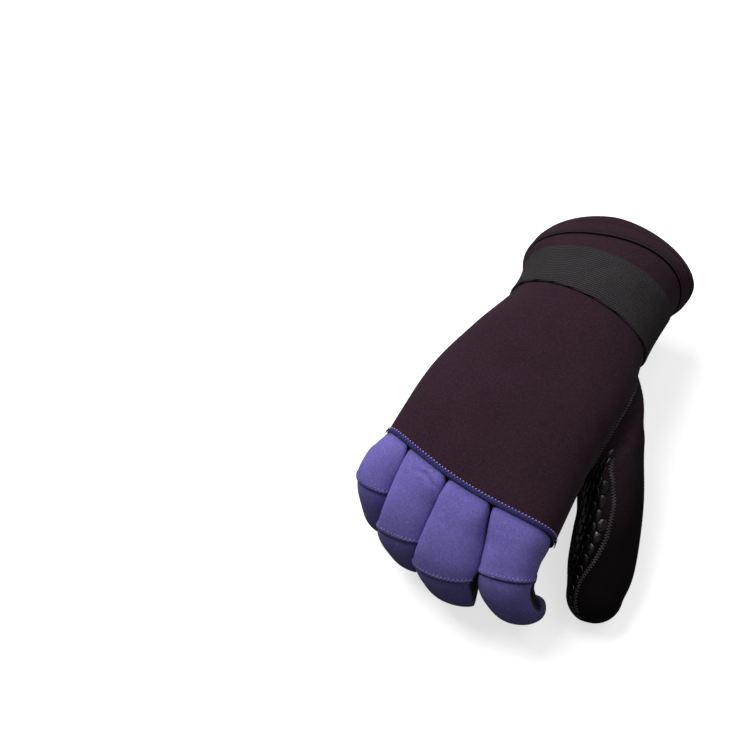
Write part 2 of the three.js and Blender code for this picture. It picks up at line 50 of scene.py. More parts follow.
FINGER_SOFT = 0.9                # how gently the fingers flatten against one another
FLOOR_SOFT = 0.6                 # how gently the cloth flattens on the floor
FOOTPRINT_MIDDLE = np.array([13.25, 10.85, 0.0])

HAND_COLUMNS = ("x", "y", "z", "half", "top", "bottom", "yaw", "pitch", "roll", "square",
                "bow", "ball")
HAND = {
    "hem_edge": (-0.2, 113, 34.5, 47, 33.9, 36.6, 4.5, -22, 9, 1.75, 0, 0),
    "hem_seam": (-2, 99.4, 38.5, 45.5, 31, 31, 5.2, -20, 13.9, 2.2, 0, 0),
    "strap_upper": (-0.3, 88.3, 42.5, 41.6, 29.6, 27, 1.1, -15, 10.6, 2.05, 0, 0),
    "strap_lower": (0, 60.5, 48.5, 39.4, 27, 25, -4.5, -8, 8.4, 2, 0, 2.2),
    "heel": (-4, 30, 50.5, 44, 25, 24, -1, -4, 5, 2.3, 0, 6.5),
    "palm": (-7, -8, 50.5, 48.5, 25, 22, -4, 0, 2, 2.6, 0, 3),
    "knuckles": (-5, -55, 48.5, 52, 23, 14.5, -7, 4, 0, 3, 8, 0),
}
HEM_SEAM, STRAP_UPPER, STRAP_LOWER, KNUCKLES = 1, 2, 3, 6
ULNAR_SEAM = 180                 # degrees round the hand, at the little-finger side

FINGER_COLUMNS = ("across", "heading", "proximal", "middle", "distal",
                  "slope0", "slope1", "slope2", "twist",
                  "root", "mid", "tip", "reach", "deep", "end", "dome", "seam", "rise")
FINGERS = {
    "little": (-42.8, -4.8, 18.8, 35, 8.9, 14.5, 79, 163, 16,
               9, 12.8, 9.1, 0, 11.2, 9.7, 8.7, -3.7, 0),
    "ring": (-21, 0, 31.4, 31.2, 8.4, 19, 90, 163, 23,
             13.6, 16.8, 10.5, 0, 12.1, 10.6, 9.7, -2.6, 0),
    "middle": (5.5, -2.7, 32.4, 29, 7.1, 19.6, 86.5, 162.5, 26.5,
               13.4, 17.6, 11.7, 5, 13.1, 11.1, 10, -6, 32),
    "index": (34.5, 8.6, 28.5, 25.8, 3.3, 19, 74, 156, 34,
              16, 15.1, 10.1, 0, 12.6, 8.1, 10.6, 1.4, 8),
}
CENTRE_STEP = 0.5                # between the points of a finger's centreline
ROOT_SQUARE, FINGER_SQUARE = 4.5, 2.4   # how square a finger's section is, at its root and past it
BEND = 25.0                      # length of finger over which each bend is spread
FRONT_DEPTH = 0.84               # a curled finger is shallower on its front
ROOT_BLEND = 22.0                # length over which a finger leaves the hand's section
SIDE_SEAM = -6                   # degrees below a finger's side
FRONT_FROM, FRONT_TO = 180 - SIDE_SEAM, 360 + SIDE_SEAM   # degrees over a finger's front
PAD_SEAM = 19.0                  # from the tip's middle to the seam across the pad
TIP_MIDDLE = 20.0                # from the tip's middle to the middle of the fingertip's panel

THUMB_COLUMNS = ("x", "y", "z", "half", "thick", "roll", "slant")
THUMB = {
    "ball": (52.8, -0.5, 30, 16.6, 18, -10, 17),
    "joint": (61.7, -20, 23.8, 17.1, 16.5, -10, 8),
    "shaft": (70.4, -45.8, 16.6, 17.1, 15, -10, 1),
    "pad": (74.2, -61, 12.8, 14.3, 13.5, -10, 0),
}
THUMB_DOME = 14.5                # how far the thumb's end stands past its last ring
THUMB_BULGE = 6.0                # how far the ball of the thumb swells
THUMB_PULL_ROOT, THUMB_PULL_RING = 1.3, 0.8   # strength of the two ends of the blend to the hand
# The thumb's seam on the hand: its first and last row, its side, and its reach to back and palm
THUMB_FROM, THUMB_TO, THUMB_SIDE, THUMB_BACK, THUMB_PALM = 3.15, 5.1, -30, 34, 53
NO_SEAM = 50.0                   # the distance to a seam where there is none

# Heights of the strap's pieces over the cuff
STRAP_REST, STRAP_FACE = 0.4, 2.0
HOOK_REST, HOOK_FACE = 2.2, 3.4
TAB_REST, TAB_OVER, TAB_THICK = 0.4, 4.0, 2.6
HEM_FACE, HEM_INSIDE, HEM_ROUND = 0.6, -4.6, 2.6   # heights of the hem's faces, and its rounding

def clamp01(x):
    """x kept between 0 and 1."""
    return np.clip(x, 0, 1)


def ease(x):
    """3x^2 - 2x^3 between 0 and 1."""
    x = clamp01(x)
    return x * x * (3 - 2 * x)


def ramp(x):
    """The middle of a straight and an eased rise from 0 to 1."""
    return (ease(x) + clamp01(x)) / 2


def mix(a, b, t):
    """From a at t = 0 to b at t = 1, in a straight line."""
    return a + (b - a) * t


def unit(v):
    """A vector over its length."""
    return v / (np.linalg.norm(v, axis=-1, keepdims=True) + 1e-12)


def vec(x, y, z):
    """Arrays of x, y and z as one array of vectors."""
    return np.stack(np.broadcast_arrays(x, y, z), -1).astype(float)


def between(columns, table, place):
    """A table's row at any place: each column is a Catmull-Rom curve through its values."""
    rows = np.array(list(table.values()), float)
    last = len(rows) - 1
    t = np.clip(np.asarray(place, float), 0, last - 1e-9)
    i = np.floor(t).astype(int)
    f = (t - i)[..., None]
    a, b = rows[i], rows[i + 1]
    before = np.where((i > 0)[..., None], rows[np.maximum(i - 1, 0)], 2 * a - b)
    after = np.where((i < last - 1)[..., None], rows[np.minimum(i + 2, last)], 2 * b - a)
    value = 0.5 * (2 * a + (b - before) * f + (2 * before - 5 * a + 4 * b - after) * f ** 2
                   + (3 * a - before - 3 * b + after) * f ** 3)
    return dict(zip(columns, np.moveaxis(value, -1, 0)))


def section_axes(row):
    """Across, along and up of a section: X, Y and Z rolled, then pitched, then yawed."""
    yaw, pitch, roll = (np.radians(row[k]) for k in ("yaw", "pitch", "roll"))

    def turned(x, y, z):
        x1, z1 = np.cos(roll) * x - np.sin(roll) * z, np.sin(roll) * x + np.cos(roll) * z
        y2, z2 = np.cos(pitch) * y - np.sin(pitch) * z1, np.sin(pitch) * y + np.cos(pitch) * z1
        return vec(np.cos(yaw) * x1 - np.sin(yaw) * y2, np.sin(yaw) * x1 + np.cos(yaw) * y2, z2)
    return turned(1, 0, 0), turned(0, 1, 0), turned(0, 0, 1)


def rounded(degrees, square):
    """Side and height of a section |x|^n + |y|^n = 1 at an angle round it."""
    c, s = np.cos(np.radians(degrees)), np.sin(np.radians(degrees))
    k = (np.abs(c) ** square + np.abs(s) ** square) ** (-1 / square)
    return k * c, k * s


def on_floor(p):
    """Heights under the floor become 0, with a parabola where they meet it."""
    z = p[..., 2]
    low = np.where(z < -FLOOR_SOFT, 0, (z + FLOOR_SOFT) ** 2 / (4 * FLOOR_SOFT))
    return np.concatenate([p[..., :2], np.where(z < FLOOR_SOFT, low, z)[..., None]], -1)


def hand_point(place, degrees):
    """The hand and cuff: rounded sections that follow the table, wider towards the thumb's ball by
    ball x^2, and bowed towards the fingers."""
    place, degrees = np.broadcast_arrays(place, degrees)
    row = between(HAND_COLUMNS, HAND, place)
    across, along, up = section_axes(row)
    side, height = rounded(degrees, row["square"])
    width = side * row["half"] + row["ball"] * np.maximum(0, side) ** 2
    return on_floor(vec(row["x"], row["y"], row["z"])
                    + across * width[..., None]
                    + up * (height * np.where(height > 0, row["top"], row["bottom"]))[..., None]
                    - along * (row["bow"] * (1 - side * side))[..., None])


def knuckle_point(across, height):
    """A place on the knuckle seam's plane: across the hand, and -1 at the palm to 1 at the back."""
    row = dict(zip(HAND_COLUMNS, HAND["knuckles"]))
    frame_x, frame_y, frame_z = section_axes(row)
    share = np.maximum(0, 1 - np.abs(across / row["half"]) ** row["square"]) ** (1 / row["square"])
    middle, deep = (row["top"] - row["bottom"]) / 2, (row["top"] + row["bottom"]) / 2
    return (vec(row["x"], row["y"], row["z"]) + frame_x * np.asarray(across)[..., None]
            + frame_z * np.asarray(share * (middle + height * deep))[..., None]
            - frame_y * np.asarray(row["bow"] * (1 - (across / row["half"]) ** 2))[..., None])


def finger_axes(finger, s):
    """Across, along and back of a finger, turned by its slope and its twist at s."""
    first, second = (ramp((s - bend) / BEND + 0.5)
                     for bend in (finger["proximal"], finger["proximal"] + finger["middle"]))
    slope = np.radians(finger["slope0"] + (finger["slope1"] - finger["slope0"]) * first
                       + (finger["slope2"] - finger["slope1"]) * second)[..., None]
    twist = np.radians(finger["twist"] * ease((s / finger["proximal"] - 0.6) / 0.9))[..., None]
    h = np.radians(finger["heading"])
    ahead, level = vec(np.sin(h), -np.cos(h), 0), vec(np.cos(h), np.sin(h), 0)
    upright = vec(0, 0, 1)
    across = level * np.cos(twist) + upright * np.sin(twist)
    plumb = upright * np.cos(twist) - level * np.sin(twist)
    return (across, ahead * np.cos(slope) - plumb * np.sin(slope),
            ahead * np.sin(slope) + plumb * np.cos(slope))


def make_finger(values):
    """A finger's centreline: its directions at the middles of short steps, summed."""
    finger = dict(zip(FINGER_COLUMNS, values))
    finger["length"] = finger["proximal"] + finger["middle"] + finger["distal"]
    top, foot = knuckle_point(finger["across"], 1), knuckle_point(finger["across"], -1)
    finger["root_half"] = np.linalg.norm(top - foot) / 2
    start = top - finger_axes(finger, np.zeros(()))[2] * finger["root_half"]
    middles = np.arange(CENTRE_STEP / 2, finger["length"], CENTRE_STEP)
    steps = finger_axes(finger, middles)[1] * CENTRE_STEP
    finger["line"] = start + np.concatenate([np.zeros((1, 3)), np.cumsum(steps, 0)])
    finger["slots"] = []
    return finger


def finger_centre(finger, s):
    """The place at s on a finger's centreline, straight between its points."""
    line, t = finger["line"], s / CENTRE_STEP
    i = np.clip(np.floor(t).astype(int), 0, len(line) - 2)
    return line[i] + (line[i + 1] - line[i]) * (t - i)[..., None]


fingers = {name: make_finger(values) for name, values in FINGERS.items()}
finger_names = list(fingers)
# Where two fingers press together, a plane stands in the slot between them
for first, second in zip(finger_names, finger_names[1:]):
    a, b = fingers[first], fingers[second]
    slot = knuckle_point((a["across"] + a["root"] + b["across"] - b["root"]) / 2, 1)
    half = a["mid"] + a["reach"] * 0.8
    far = mix(finger_centre(a, np.array(a["proximal"])), finger_centre(b, np.array(b["proximal"])),
              half / (half + b["mid"]))
    run = unit((far - slot) * [1, 1, 0])
    away = np.array([run[1], -run[0], 0])
    a["slots"].append((slot, away))
    b["slots"].append((slot, -away))


def pressed(finger, p, web):
    """Each slot's plane pushes the finger away: room becomes (room + sqrt(room^2 + soft^2)) / 2."""
    for origin, away in finger["slots"]:
        room = (p - origin) @ away - mix(FINGER_GAP, -FINGER_GAP, web) / 2
        p = p + away * ((np.hypot(room, FINGER_SOFT) - room) / 2)[..., None]
    return p


def finger_root(finger, degrees):
    """The finger's root on the knuckle seam, rounded off into the slots beside it."""
    side, height = rounded(degrees, 8)
    return knuckle_point(finger["across"] + finger["root"] * side, height)


def finger_tube(finger, s, degrees, shrink=1.0):
    """Rounded sections carried along the centreline, leaving the knuckle seam smoothly."""
    across, _, back = finger_axes(finger, s)
    q = np.maximum(0, s) / finger["proximal"]
    far = np.maximum(0, (s - finger["proximal"]) / (finger["length"] - finger["proximal"]))
    spread = ease(q * 1.6)
    half = np.where(q < 1, mix(finger["root"], finger["mid"], spread),
                    mix(finger["mid"], finger["tip"], far))
    deep = np.where(q < 1, mix(finger["root_half"], finger["deep"], ease(q)),
                    mix(finger["deep"], finger["end"], far))

    def section(h, d, square, front):
        side, height = rounded(degrees, square)
        rise = height * d * shrink * np.where(height > 0, 1, front)
        reach = finger["reach"] * ease((s / finger["proximal"] - 0.3) / 0.7)
        wide = side * h + reach * np.maximum(0, side) ** 2
        return across * (wide * shrink)[..., None] + back * rise[..., None]
    p = (finger_centre(finger, np.minimum(s, finger["length"]))
         + back * ((finger["root_half"] - deep) * 0.6 * (1 - ease(q)))[..., None]
         + section(half, deep, mix(ROOT_SQUARE, FINGER_SQUARE, spread),
                   mix(1, FRONT_DEPTH, spread)))
    plain = (finger_centre(finger, np.zeros_like(s))
             + section(finger["root"], finger["root_half"], ROOT_SQUARE, 1))
    return p + (finger_root(finger, degrees) - plain) * (1 - ease(s / ROOT_BLEND))[..., None]


def finger_point(finger, r, degrees):
    """A place on a finger, r being the distance from the tip's middle over its dome and up its
    side. The seam on the thumb's side is drawn up by the finger's rise, and the panels beside it
    follow."""
    r, degrees = np.broadcast_arrays(np.asarray(r, float), np.asarray(degrees, float))
    dome = finger["dome"] * np.pi / 2
    s = finger["length"] - (r - dome)
    round_angle, back_span = (degrees - SIDE_SEAM) % 360, 180 - 2 * SIDE_SEAM
    share = np.where(round_angle < back_span, 1 - round_angle / back_span,
                     (round_angle - back_span) / (360 - back_span))
    degrees = (degrees + finger["rise"] * share * ease((s - finger["proximal"] + 12) / 22)
               * ease(r / PAD_SEAM))
    web = (1 - ease(s / 12)) * ease((-8 - SIDE_SEAM - 60 * np.sin(np.radians(degrees))) / 20)
    bend = np.minimum(r, dome) / finger["dome"]
    on_dome = r < dome
    p = finger_tube(finger, np.minimum(s, finger["length"]), degrees,
                    np.where(on_dome, np.sin(bend), 1.0))
    ahead = finger_axes(finger, np.full(r.shape, finger["length"]))[1]
    p = p + ahead * (finger["dome"] * np.cos(bend) * on_dome)[..., None]
    return on_floor(pressed(finger, p, np.where(on_dome, 0, web)))


def from_tip(finger, s):
    """A distance along the centreline as a distance from the tip's middle."""
    return finger["length"] - s + finger["dome"] * np.pi / 2


def panel_seam(finger):
    """The seam between a finger's two back panels lies a little before the middle of its bend."""
    return from_tip(finger, finger["proximal"] - finger["seam"])


def arched(reach, x):
    """Half an ellipse over x from -1 to 1."""
    return reach * np.sqrt(np.maximum(0, 1 - x * x))


def thumb_seam(degrees):
    """Place and angle on the hand of the thumb's seam, which is an ellipse: 0 at the crotch, 90
    on the back, 180 at the wrist."""
    c, s = np.cos(np.radians(degrees)), np.sin(np.radians(degrees))
    reach = np.where(s > 0, THUMB_BACK, -THUMB_PALM)
    return mix(THUMB_FROM, THUMB_TO, (1 + c) / 2), THUMB_SIDE + arched(reach, c)


def radial_edge(place, reach):
    """The angle at which the thumb's seam crosses a row of the hand."""
    return THUMB_SIDE + arched(reach, 2 * (place - THUMB_FROM) / (THUMB_TO - THUMB_FROM) - 1)


def thumb_ring(far, degrees, bend):
    """A ring of the thumb's tube: bend shrinks it over the dome, and slant leans it towards the
    tip."""
    row = between(THUMB_COLUMNS, THUMB, far)
    near, ahead = (between(THUMB_COLUMNS, THUMB, far + step) for step in (-0.05, 0.05))
    along = unit(vec(*(ahead[k] - near[k] for k in "xyz")))
    across = vec(np.cos(np.radians(row["roll"])), 0, np.sin(np.radians(row["roll"])))
    across = unit(across - along * (across * along).sum(-1, keepdims=True))
    up = -np.cross(across, along)
    up = np.where(up[..., 2:] < 0, -up, up)
    c, s = np.cos(np.radians(degrees)), np.sin(np.radians(degrees))
    point = (vec(row["x"], row["y"], row["z"])
             + along * (THUMB_DOME * np.cos(bend) + row["slant"] * c)[..., None]
             - across * (row["half"] * c * np.sin(bend))[..., None]
             + up * (row["thick"] * s * np.sin(bend))[..., None])
    return point, along


def thumb_point(far, degrees):
    """The thumb: a Hermite blend from its seam on the hand (far 0) to its first ring (far 1), then
    the table's rings (to far 4), then the dome (to far 5)."""
    far, degrees = np.broadcast_arrays(np.asarray(far, float), np.asarray(degrees, float))
    rings = len(THUMB)
    bend = np.where(far > rings, (rings + 1 - far) * np.pi / 2, np.pi / 2)
    tube, _ = thumb_ring(np.clip(far - 1, 0, rings - 1), degrees, bend)
    place, angle = thumb_seam(degrees)
    start = hand_point(place, angle)
    end, along = thumb_ring(np.zeros_like(far), degrees, np.full(far.shape, np.pi / 2))
    a = hand_point(place + 0.02, angle) - hand_point(place - 0.02, angle)
    b = hand_point(place, angle + 1) - hand_point(place, angle - 1)
    normal = unit(np.cross(a, b))
    inward = hand_point((THUMB_FROM + THUMB_TO) / 2, THUMB_SIDE - 20.0) - start
    inward = unit(inward - normal * (inward * normal).sum(-1, keepdims=True))
    reach = np.linalg.norm(start - end, axis=-1, keepdims=True)
    f = clamp01(far)[..., None]
    outside = ((1 - np.cos(np.radians(degrees))) / 2)[..., None]
    ball = (start * (2 * f ** 3 - 3 * f * f + 1)
            + inward * (f ** 3 - 2 * f * f + f) * reach * THUMB_PULL_ROOT
            + end * (3 * f * f - 2 * f ** 3) + along * (f ** 3 - f * f) * reach * THUMB_PULL_RING
            - normal * THUMB_BULGE * outside * 6.75 * f * (1 - f) ** 2)
    return on_floor(np.where(far[..., None] < 1, ball, tube))


# Every panel's place is a function of (u, v): degrees round and rows along.
def hand(degrees, place):
    """The hand and cuff."""
    return hand_point(place, degrees)


def thumb(degrees, far):
    """The thumb."""
    return thumb_point(far, degrees)


def finger_at(name):
    """A finger, its rows being distances from the tip's middle."""
    return lambda degrees, r: finger_point(fingers[name], r, degrees)


def strap(degrees, place):
    """The strap follows the cuff, and drifts wider than its bend on the palm side."""
    palm_side = ((1 - np.sin(np.radians(degrees))) / 2) ** 2
    return hand_point(place + palm_side * mix(-0.25, 0.12, place - STRAP_UPPER), degrees)


def spaced(start, end, count, ends=0.7):
    """Steps from start to end that lie closer at both ends: t - k sin(2 pi t) / (2 pi)."""
    t = np.linspace(0, 1, count + 1)
    return mix(start, end, t - ends * np.sin(2 * np.pi * t) / (2 * np.pi))


def grid_normals(p, closed):
    """Cross product of the differences along the rows and along the columns."""
    if closed:
        du = np.roll(p, -1, 1) - np.roll(p, 1, 1)
    else:
        du = np.gradient(p, axis=1)
    return unit(np.cross(du, np.gradient(p, axis=0)))


def run_lengths(p, axis):
    """Distance run along an axis of a grid of points, from its first row or column."""
    step = np.linalg.norm(np.diff(p, axis=axis), axis=-1)
    return np.insert(np.cumsum(step, axis), 0, 0, axis=axis)


def rolled(distance, radius=1.5, drop=0.8):
    """A sewn edge turns down on a quarter of an ellipse: drop (sqrt(1 - (1 - d/r)^2) - 1)."""
    return drop * (np.sqrt(np.maximum(0, 1 - np.maximum(0, 1 - distance / radius) ** 2)) - 1)


def part(points, faces, face_uvs=None, uv=None, seam=None):
    """A piece of a mesh: points, lists of equal-sided faces as index arrays, UVs and distances to
    a seam."""
    corners = np.concatenate([f.ravel() for f in faces])
    return {
        "points": points, "corners": corners,
        "sizes": np.concatenate([np.full(len(f), f.shape[1]) for f in faces]),
        "uv": (np.zeros((len(corners), 2)) if uv is None
               else uv[np.concatenate([f.ravel() for f in face_uvs])]),
        "seam": np.full(len(points), NO_SEAM) if seam is None else seam,
    }


def together(parts):
    """Several pieces of a mesh as one, each one's points numbered on from the last one's."""
    counts = np.cumsum([0] + [len(p["points"]) for p in parts])
    whole = {key: np.concatenate([p[key] for p in parts])
             for key in ("points", "sizes", "uv", "seam")}
    whole["corners"] = np.concatenate([p["corners"] + n for p, n in zip(parts, counts)])
    return whole


# Soft folds pressed into the cloth: two ends, width and depth
FOLDS = [
    ((-30, -66.5, 67.5), (-24.5, -66.3, 68.3), 1.6, 0.5),
    ((-25.5, -66.1, 68.4), (-17.6, -70, 66.5), 1.7, 0.8),
    ((-18.2, -69.5, 66.9), (-14.6, -74.5, 62.5), 1.8, 0.8),
    ((3, -73, 67), (8.5, -79, 61.5), 2.6, 0.5),
    ((28.5, -72, 64), (36, -70.5, 62), 2.4, 0.35),
    ((42.9, -22, 60.5), (34, -12, 67), 4.0, 0.7),
    ((46, -8, 55), (40, 6, 66), 4.5, 0.6),
]


def folded(p, *_):
    """Each fold is a furrow with a low ridge on both sides, (1 - 1.6 q^2) e^(-q^2) across it with
    q the distance over the width, and it fades out past its ends."""
    height = np.zeros(p.shape[:-1])
    for start, end, width, depth in FOLDS:
        start, run = np.array(start, float), np.subtract(end, start)
        t = (p - start) @ run / (run @ run)
        q = np.linalg.norm(p - start - np.clip(t, 0, 1)[..., None] * run, axis=-1) / width
        fade = np.sin(np.pi * np.clip(t * 0.8 + 0.1, 0, 1)) ** 0.7
        height -= depth * fade * (1 - 1.6 * q ** 2) * np.exp(-q ** 2)
    return height


def sheet(place, us, vs, faces=None, wall=WALL, closed=False, pole=False, sewn=(1, 1, 1, 1),
          puff=0.0, roll=(1.5, 0.8), relief=None, outward=0):
    """A thick sheet on place(u, v). Its outer face stands at puff (1 - e^(-d/5)) + rolled(d) +
    relief, d being the distance to the nearest sewn edge, and its inner face lies a wall below the
    plain surface. sewn tells which of the first and last column and the first and last row are
    sewn edges. faces gives the heights of both faces instead, from u, v, and the distance run
    along the columns. outward is 1 or -1 where the patch is too flat to tell its outer side from
    its middle."""
    u, v = np.meshgrid(us, vs)
    p = place(u, v)
    rim = p[:, :-1] if closed else p
    normals = grid_normals(rim, closed)
    inner_part = (slice(2, -2), slice(2, -2))
    away = (rim - rim.reshape(-1, 3).mean(0))[inner_part] * normals[inner_part]
    sign = outward or np.sign(away.sum())
    normals = normals * sign
    if pole:
        normals[-1] = unit(normals[-2].mean(0))
    across, along = run_lengths(p, 1), run_lengths(p, 0)
    distances = [(across, sewn[0] and not closed),
                 (across[:, -1:] - across, sewn[1] and not closed),
                 (along, sewn[2]), (along[-1:] - along, sewn[3] and not pole)]
    seam = np.minimum.reduce([d for d, on in distances if on] + [np.full(p.shape[:2], NO_SEAM)])
    uv = np.stack([across - across[:, -1:] / 2, along], -1)
    if closed:
        u, v, seam, across, along = (a[:, :-1] for a in (u, v, seam, across, along))
    if faces is None:
        outer = puff * (1 - np.exp(-seam / 5)) + rolled(seam, *roll)
        inner = np.full(u.shape, -wall)
    else:
        outer, inner = (np.broadcast_to(h, u.shape).copy() for h in faces(u, v, along))
    if relief is not None:
        outer = outer + relief(rim, u, v, along)
    rows, columns = u.shape
    size = rows * columns
    points = np.concatenate([(rim + normals * h[..., None]).reshape(-1, 3)
                             for h in (outer, inner)])
    wide, spans = uv.shape[1], (columns if closed else columns - 1)
    last = rows - 2 if pole else rows - 1
    j, i = (a.ravel() for a in np.meshgrid(np.arange(last), np.arange(spans), indexing="ij"))
    n = (i + 1) % columns
    top, top_uv = (np.stack([j * w + i, j * w + k, (j + 1) * w + k, (j + 1) * w + i], -1)
                   for w, k in ((columns, n), (wide, i + 1)))
    index, index_uv = [top, top[:, ::-1] + size], [top_uv, top_uv[:, ::-1]]

    def rim_strip(edge, edge_uv):
        index.append(np.stack([edge[:-1], edge[:-1] + size, edge[1:] + size, edge[1:]], -1))
        index_uv.append(np.stack([edge_uv[:-1], edge_uv[:-1], edge_uv[1:], edge_uv[1:]], -1))
    row, row_uv, side = np.arange(spans + 1) % columns, np.arange(spans + 1), np.arange(rows)
    rim_strip(row, row_uv)
    if not closed:
        rim_strip((side * columns)[::-1], (side * wide)[::-1])
        rim_strip(side * columns + columns - 1, side * wide + columns - 1)
    kept = np.ones(2 * size, bool)
    if pole:
        ring, k = (rows - 2) * columns, np.arange(spans)
        index.append(
            np.stack([ring + k, ring + (k + 1) % columns, np.full(spans, ring + columns)], -1))
        index.append(index[-1][:, ::-1] + size)
        ring_uv = (rows - 2) * wide
        index_uv.append(np.stack([ring_uv + k, ring_uv + k + 1, ring_uv + wide + k], -1))
        index_uv.append(index_uv[-1][:, ::-1])
        kept[ring + columns + 1:size] = kept[ring + columns + 1 + size:] = False
    else:
        rim_strip((row + (rows - 1) * columns)[::-1], (row_uv + (rows - 1) * wide)[::-1])
    if sign < 0:
        index, index_uv = [f[:, ::-1] for f in index], [f[:, ::-1] for f in index_uv]
    renumbered = np.cumsum(kept) - 1
    return part(points[kept], [renumbered[f] for f in index], index_uv, uv.reshape(-1, 2),
                np.tile(seam.ravel(), 2)[kept])


# Small steps along both directions of a surface, and 1 where their cross product points outwards.
SURFACE_STEPS = {hand: (0.05, 0.002, 1), thumb: (0.1, 0.002, -1), strap: (0.05, 0.002, 1)}


def surface_normal(place, u, v):
    """The outward normal: the cross product of the slopes, turned away from the hollow."""
    du, dv, outward = SURFACE_STEPS.get(place, (0.1, 0.05, -1))
    slope_u = place(u + du, v) - place(u - du, v)
    slope_v = place(u, v + dv) - place(u, v - dv)
    return outward * unit(np.cross(slope_u, slope_v))


def seam_line(place, us, vs, spacing=0.5):
    """A curve on a surface resampled at even steps: its points, outward normals, directions and
    sides. us or vs may be one number."""
    us, vs = (np.array(x, float) for x in np.broadcast_arrays(us, vs))
    p = place(us, vs)
    run = run_lengths(p, 0)
    even = np.linspace(0, run[-1], max(2, int(run[-1] / spacing)))
    u, v = np.interp(even, run, us), np.interp(even, run, vs)
    p, n = place(u, v), surface_normal(place, u, v)
    t = unit(np.gradient(p, axis=0))
    return {"run": even, "p": p, "n": n, "t": t, "b": unit(np.cross(n, t))}


def beside(line, s, off, height):
    """Places at run s of a line, off to its side and at a height over the cloth."""
    p, n, b = (np.stack([np.interp(s, line["run"], line[k][:, c]) for c in range(3)], -1)
               for k in "pnb")
    return p + b * np.asarray(off)[..., None] + n * np.asarray(height)[..., None], n


def tube(paths, ups, radius, flat=1.0, sides=6):
    """Threads: many equal paths at once, each a ring of sides carried along it, and closed at both
    ends. The ring is radius (cos a) to the side and flat radius (sin a) up."""
    n, k, _ = paths.shape
    t = unit(np.gradient(paths, axis=1))
    side = unit(np.cross(t, ups))
    up = np.cross(side, t)
    a = np.arange(sides) * 2 * np.pi / sides
    r = radius * np.sqrt(np.maximum(0.2, 1 - np.linspace(-1, 1, k) ** 6))[:, None, None]
    rings = (paths[:, :, None] + r * (side[:, :, None] * np.cos(a)[:, None]
                                      + up[:, :, None] * np.sin(a)[:, None] * flat))
    points = rings.reshape(-1, 3)
    m, j, i = (x.ravel() for x in np.meshgrid(
        np.arange(n), np.arange(k - 1), np.arange(sides), indexing="ij"))
    base, nxt = (m * k + j) * sides, (i + 1) % sides
    walls = np.stack([base + i, base + i + sides, base + nxt + sides, base + nxt], -1)
    first = np.arange(n)[:, None] * k * sides + np.arange(sides)[None, :]
    uv = np.stack(np.broadcast_arrays(
        a[None, None, :] * radius, np.linspace(0, 1, k)[None, :, None] * 3.0), -1)
    uv = np.broadcast_to(uv, (n, k, sides, 2)).reshape(-1, 2)
    faces = [walls, first, (first + (k - 1) * sides)[:, ::-1]]
    return part(points, faces, faces, uv)


def zigzag(line, pitch=2.2, width=2.6, radius=0.22, height=0.25, lift=0.25, off=0.0,
           ends=(0.5, 0.5)):
    """A row of slanting stitches: each thread leaves the cloth on one side of a seam, bows up by
    lift (4 t (1 - t))^0.6 and goes in on the other side."""
    count = int((line["run"][-1] - sum(ends)) / pitch * 2)
    starts = ends[0] + np.arange(count)[:, None] * pitch / 2
    t = np.linspace(0, 1, 6)[None, :]
    swing = (np.arange(count) % 2 * 2 - 1)[:, None]
    s = starts + t * pitch / 2
    bow = lift * (4 * t * (1 - t)) ** 0.6
    paths, ups = beside(line, s, off + swing * (t - 0.5) * width, height + bow - 0.18)
    return tube(paths, ups, radius, 0.8)


def running(line, pitch=2.4, length=1.7, radius=0.22, height=0.15, off=0.0, ends=(0.5, 0.5)):
    """A straight row of stitches with small gaps, each bowed up in its middle."""
    count = int((line["run"][-1] - sum(ends)) / pitch)
    t = np.linspace(0, 1, 5)[None, :]
    s = ends[0] + np.arange(count)[:, None] * pitch + t * length
    paths, ups = beside(line, s, off + 0 * s, height - 0.15 + 0.25 * (4 * t * (1 - t)) ** 0.6)
    return tube(paths, ups, radius, 0.8)


def welt(line, half=1.6, height=1.0, sunk=0.5, off=0.0, waves=0.0, sides=14):
    """A raised band along a seam: a flattened round section carried along the line, a little wavy
    where the stitches pull it in, and closed at its ends."""
    a = np.arange(sides) * 2 * np.pi / sides
    c, s = np.cos(a), np.sin(a)
    side = np.sign(c) * np.abs(c) ** 0.8 * half
    rise = np.where(s > 0, s * height, s * sunk)
    pull = 1 - waves * (0.5 + 0.5 * np.cos(2 * np.pi * line["run"] / 2.2))[:, None]
    k = len(line["run"])
    run = np.broadcast_to(line["run"][:, None], (k, sides))
    points, _ = beside(line, run, off + side[None, :] * (1 + (pull - 1) * 0.3),
                       rise[None, :] * pull)
    j, i = (x.ravel() for x in np.meshgrid(np.arange(k - 1), np.arange(sides), indexing="ij"))
    n = (i + 1) % sides
    walls = np.stack([j * sides + i, (j + 1) * sides + i, (j + 1) * sides + n, j * sides + n], -1)
    uv = np.stack([np.broadcast_to(side, run.shape), run], -1).reshape(-1, 2)
    ends = [np.arange(sides)[None, :], (np.arange(sides) + (k - 1) * sides)[None, ::-1]]
    return part(points.reshape(-1, 3), [walls, *ends], [walls, *ends], uv)


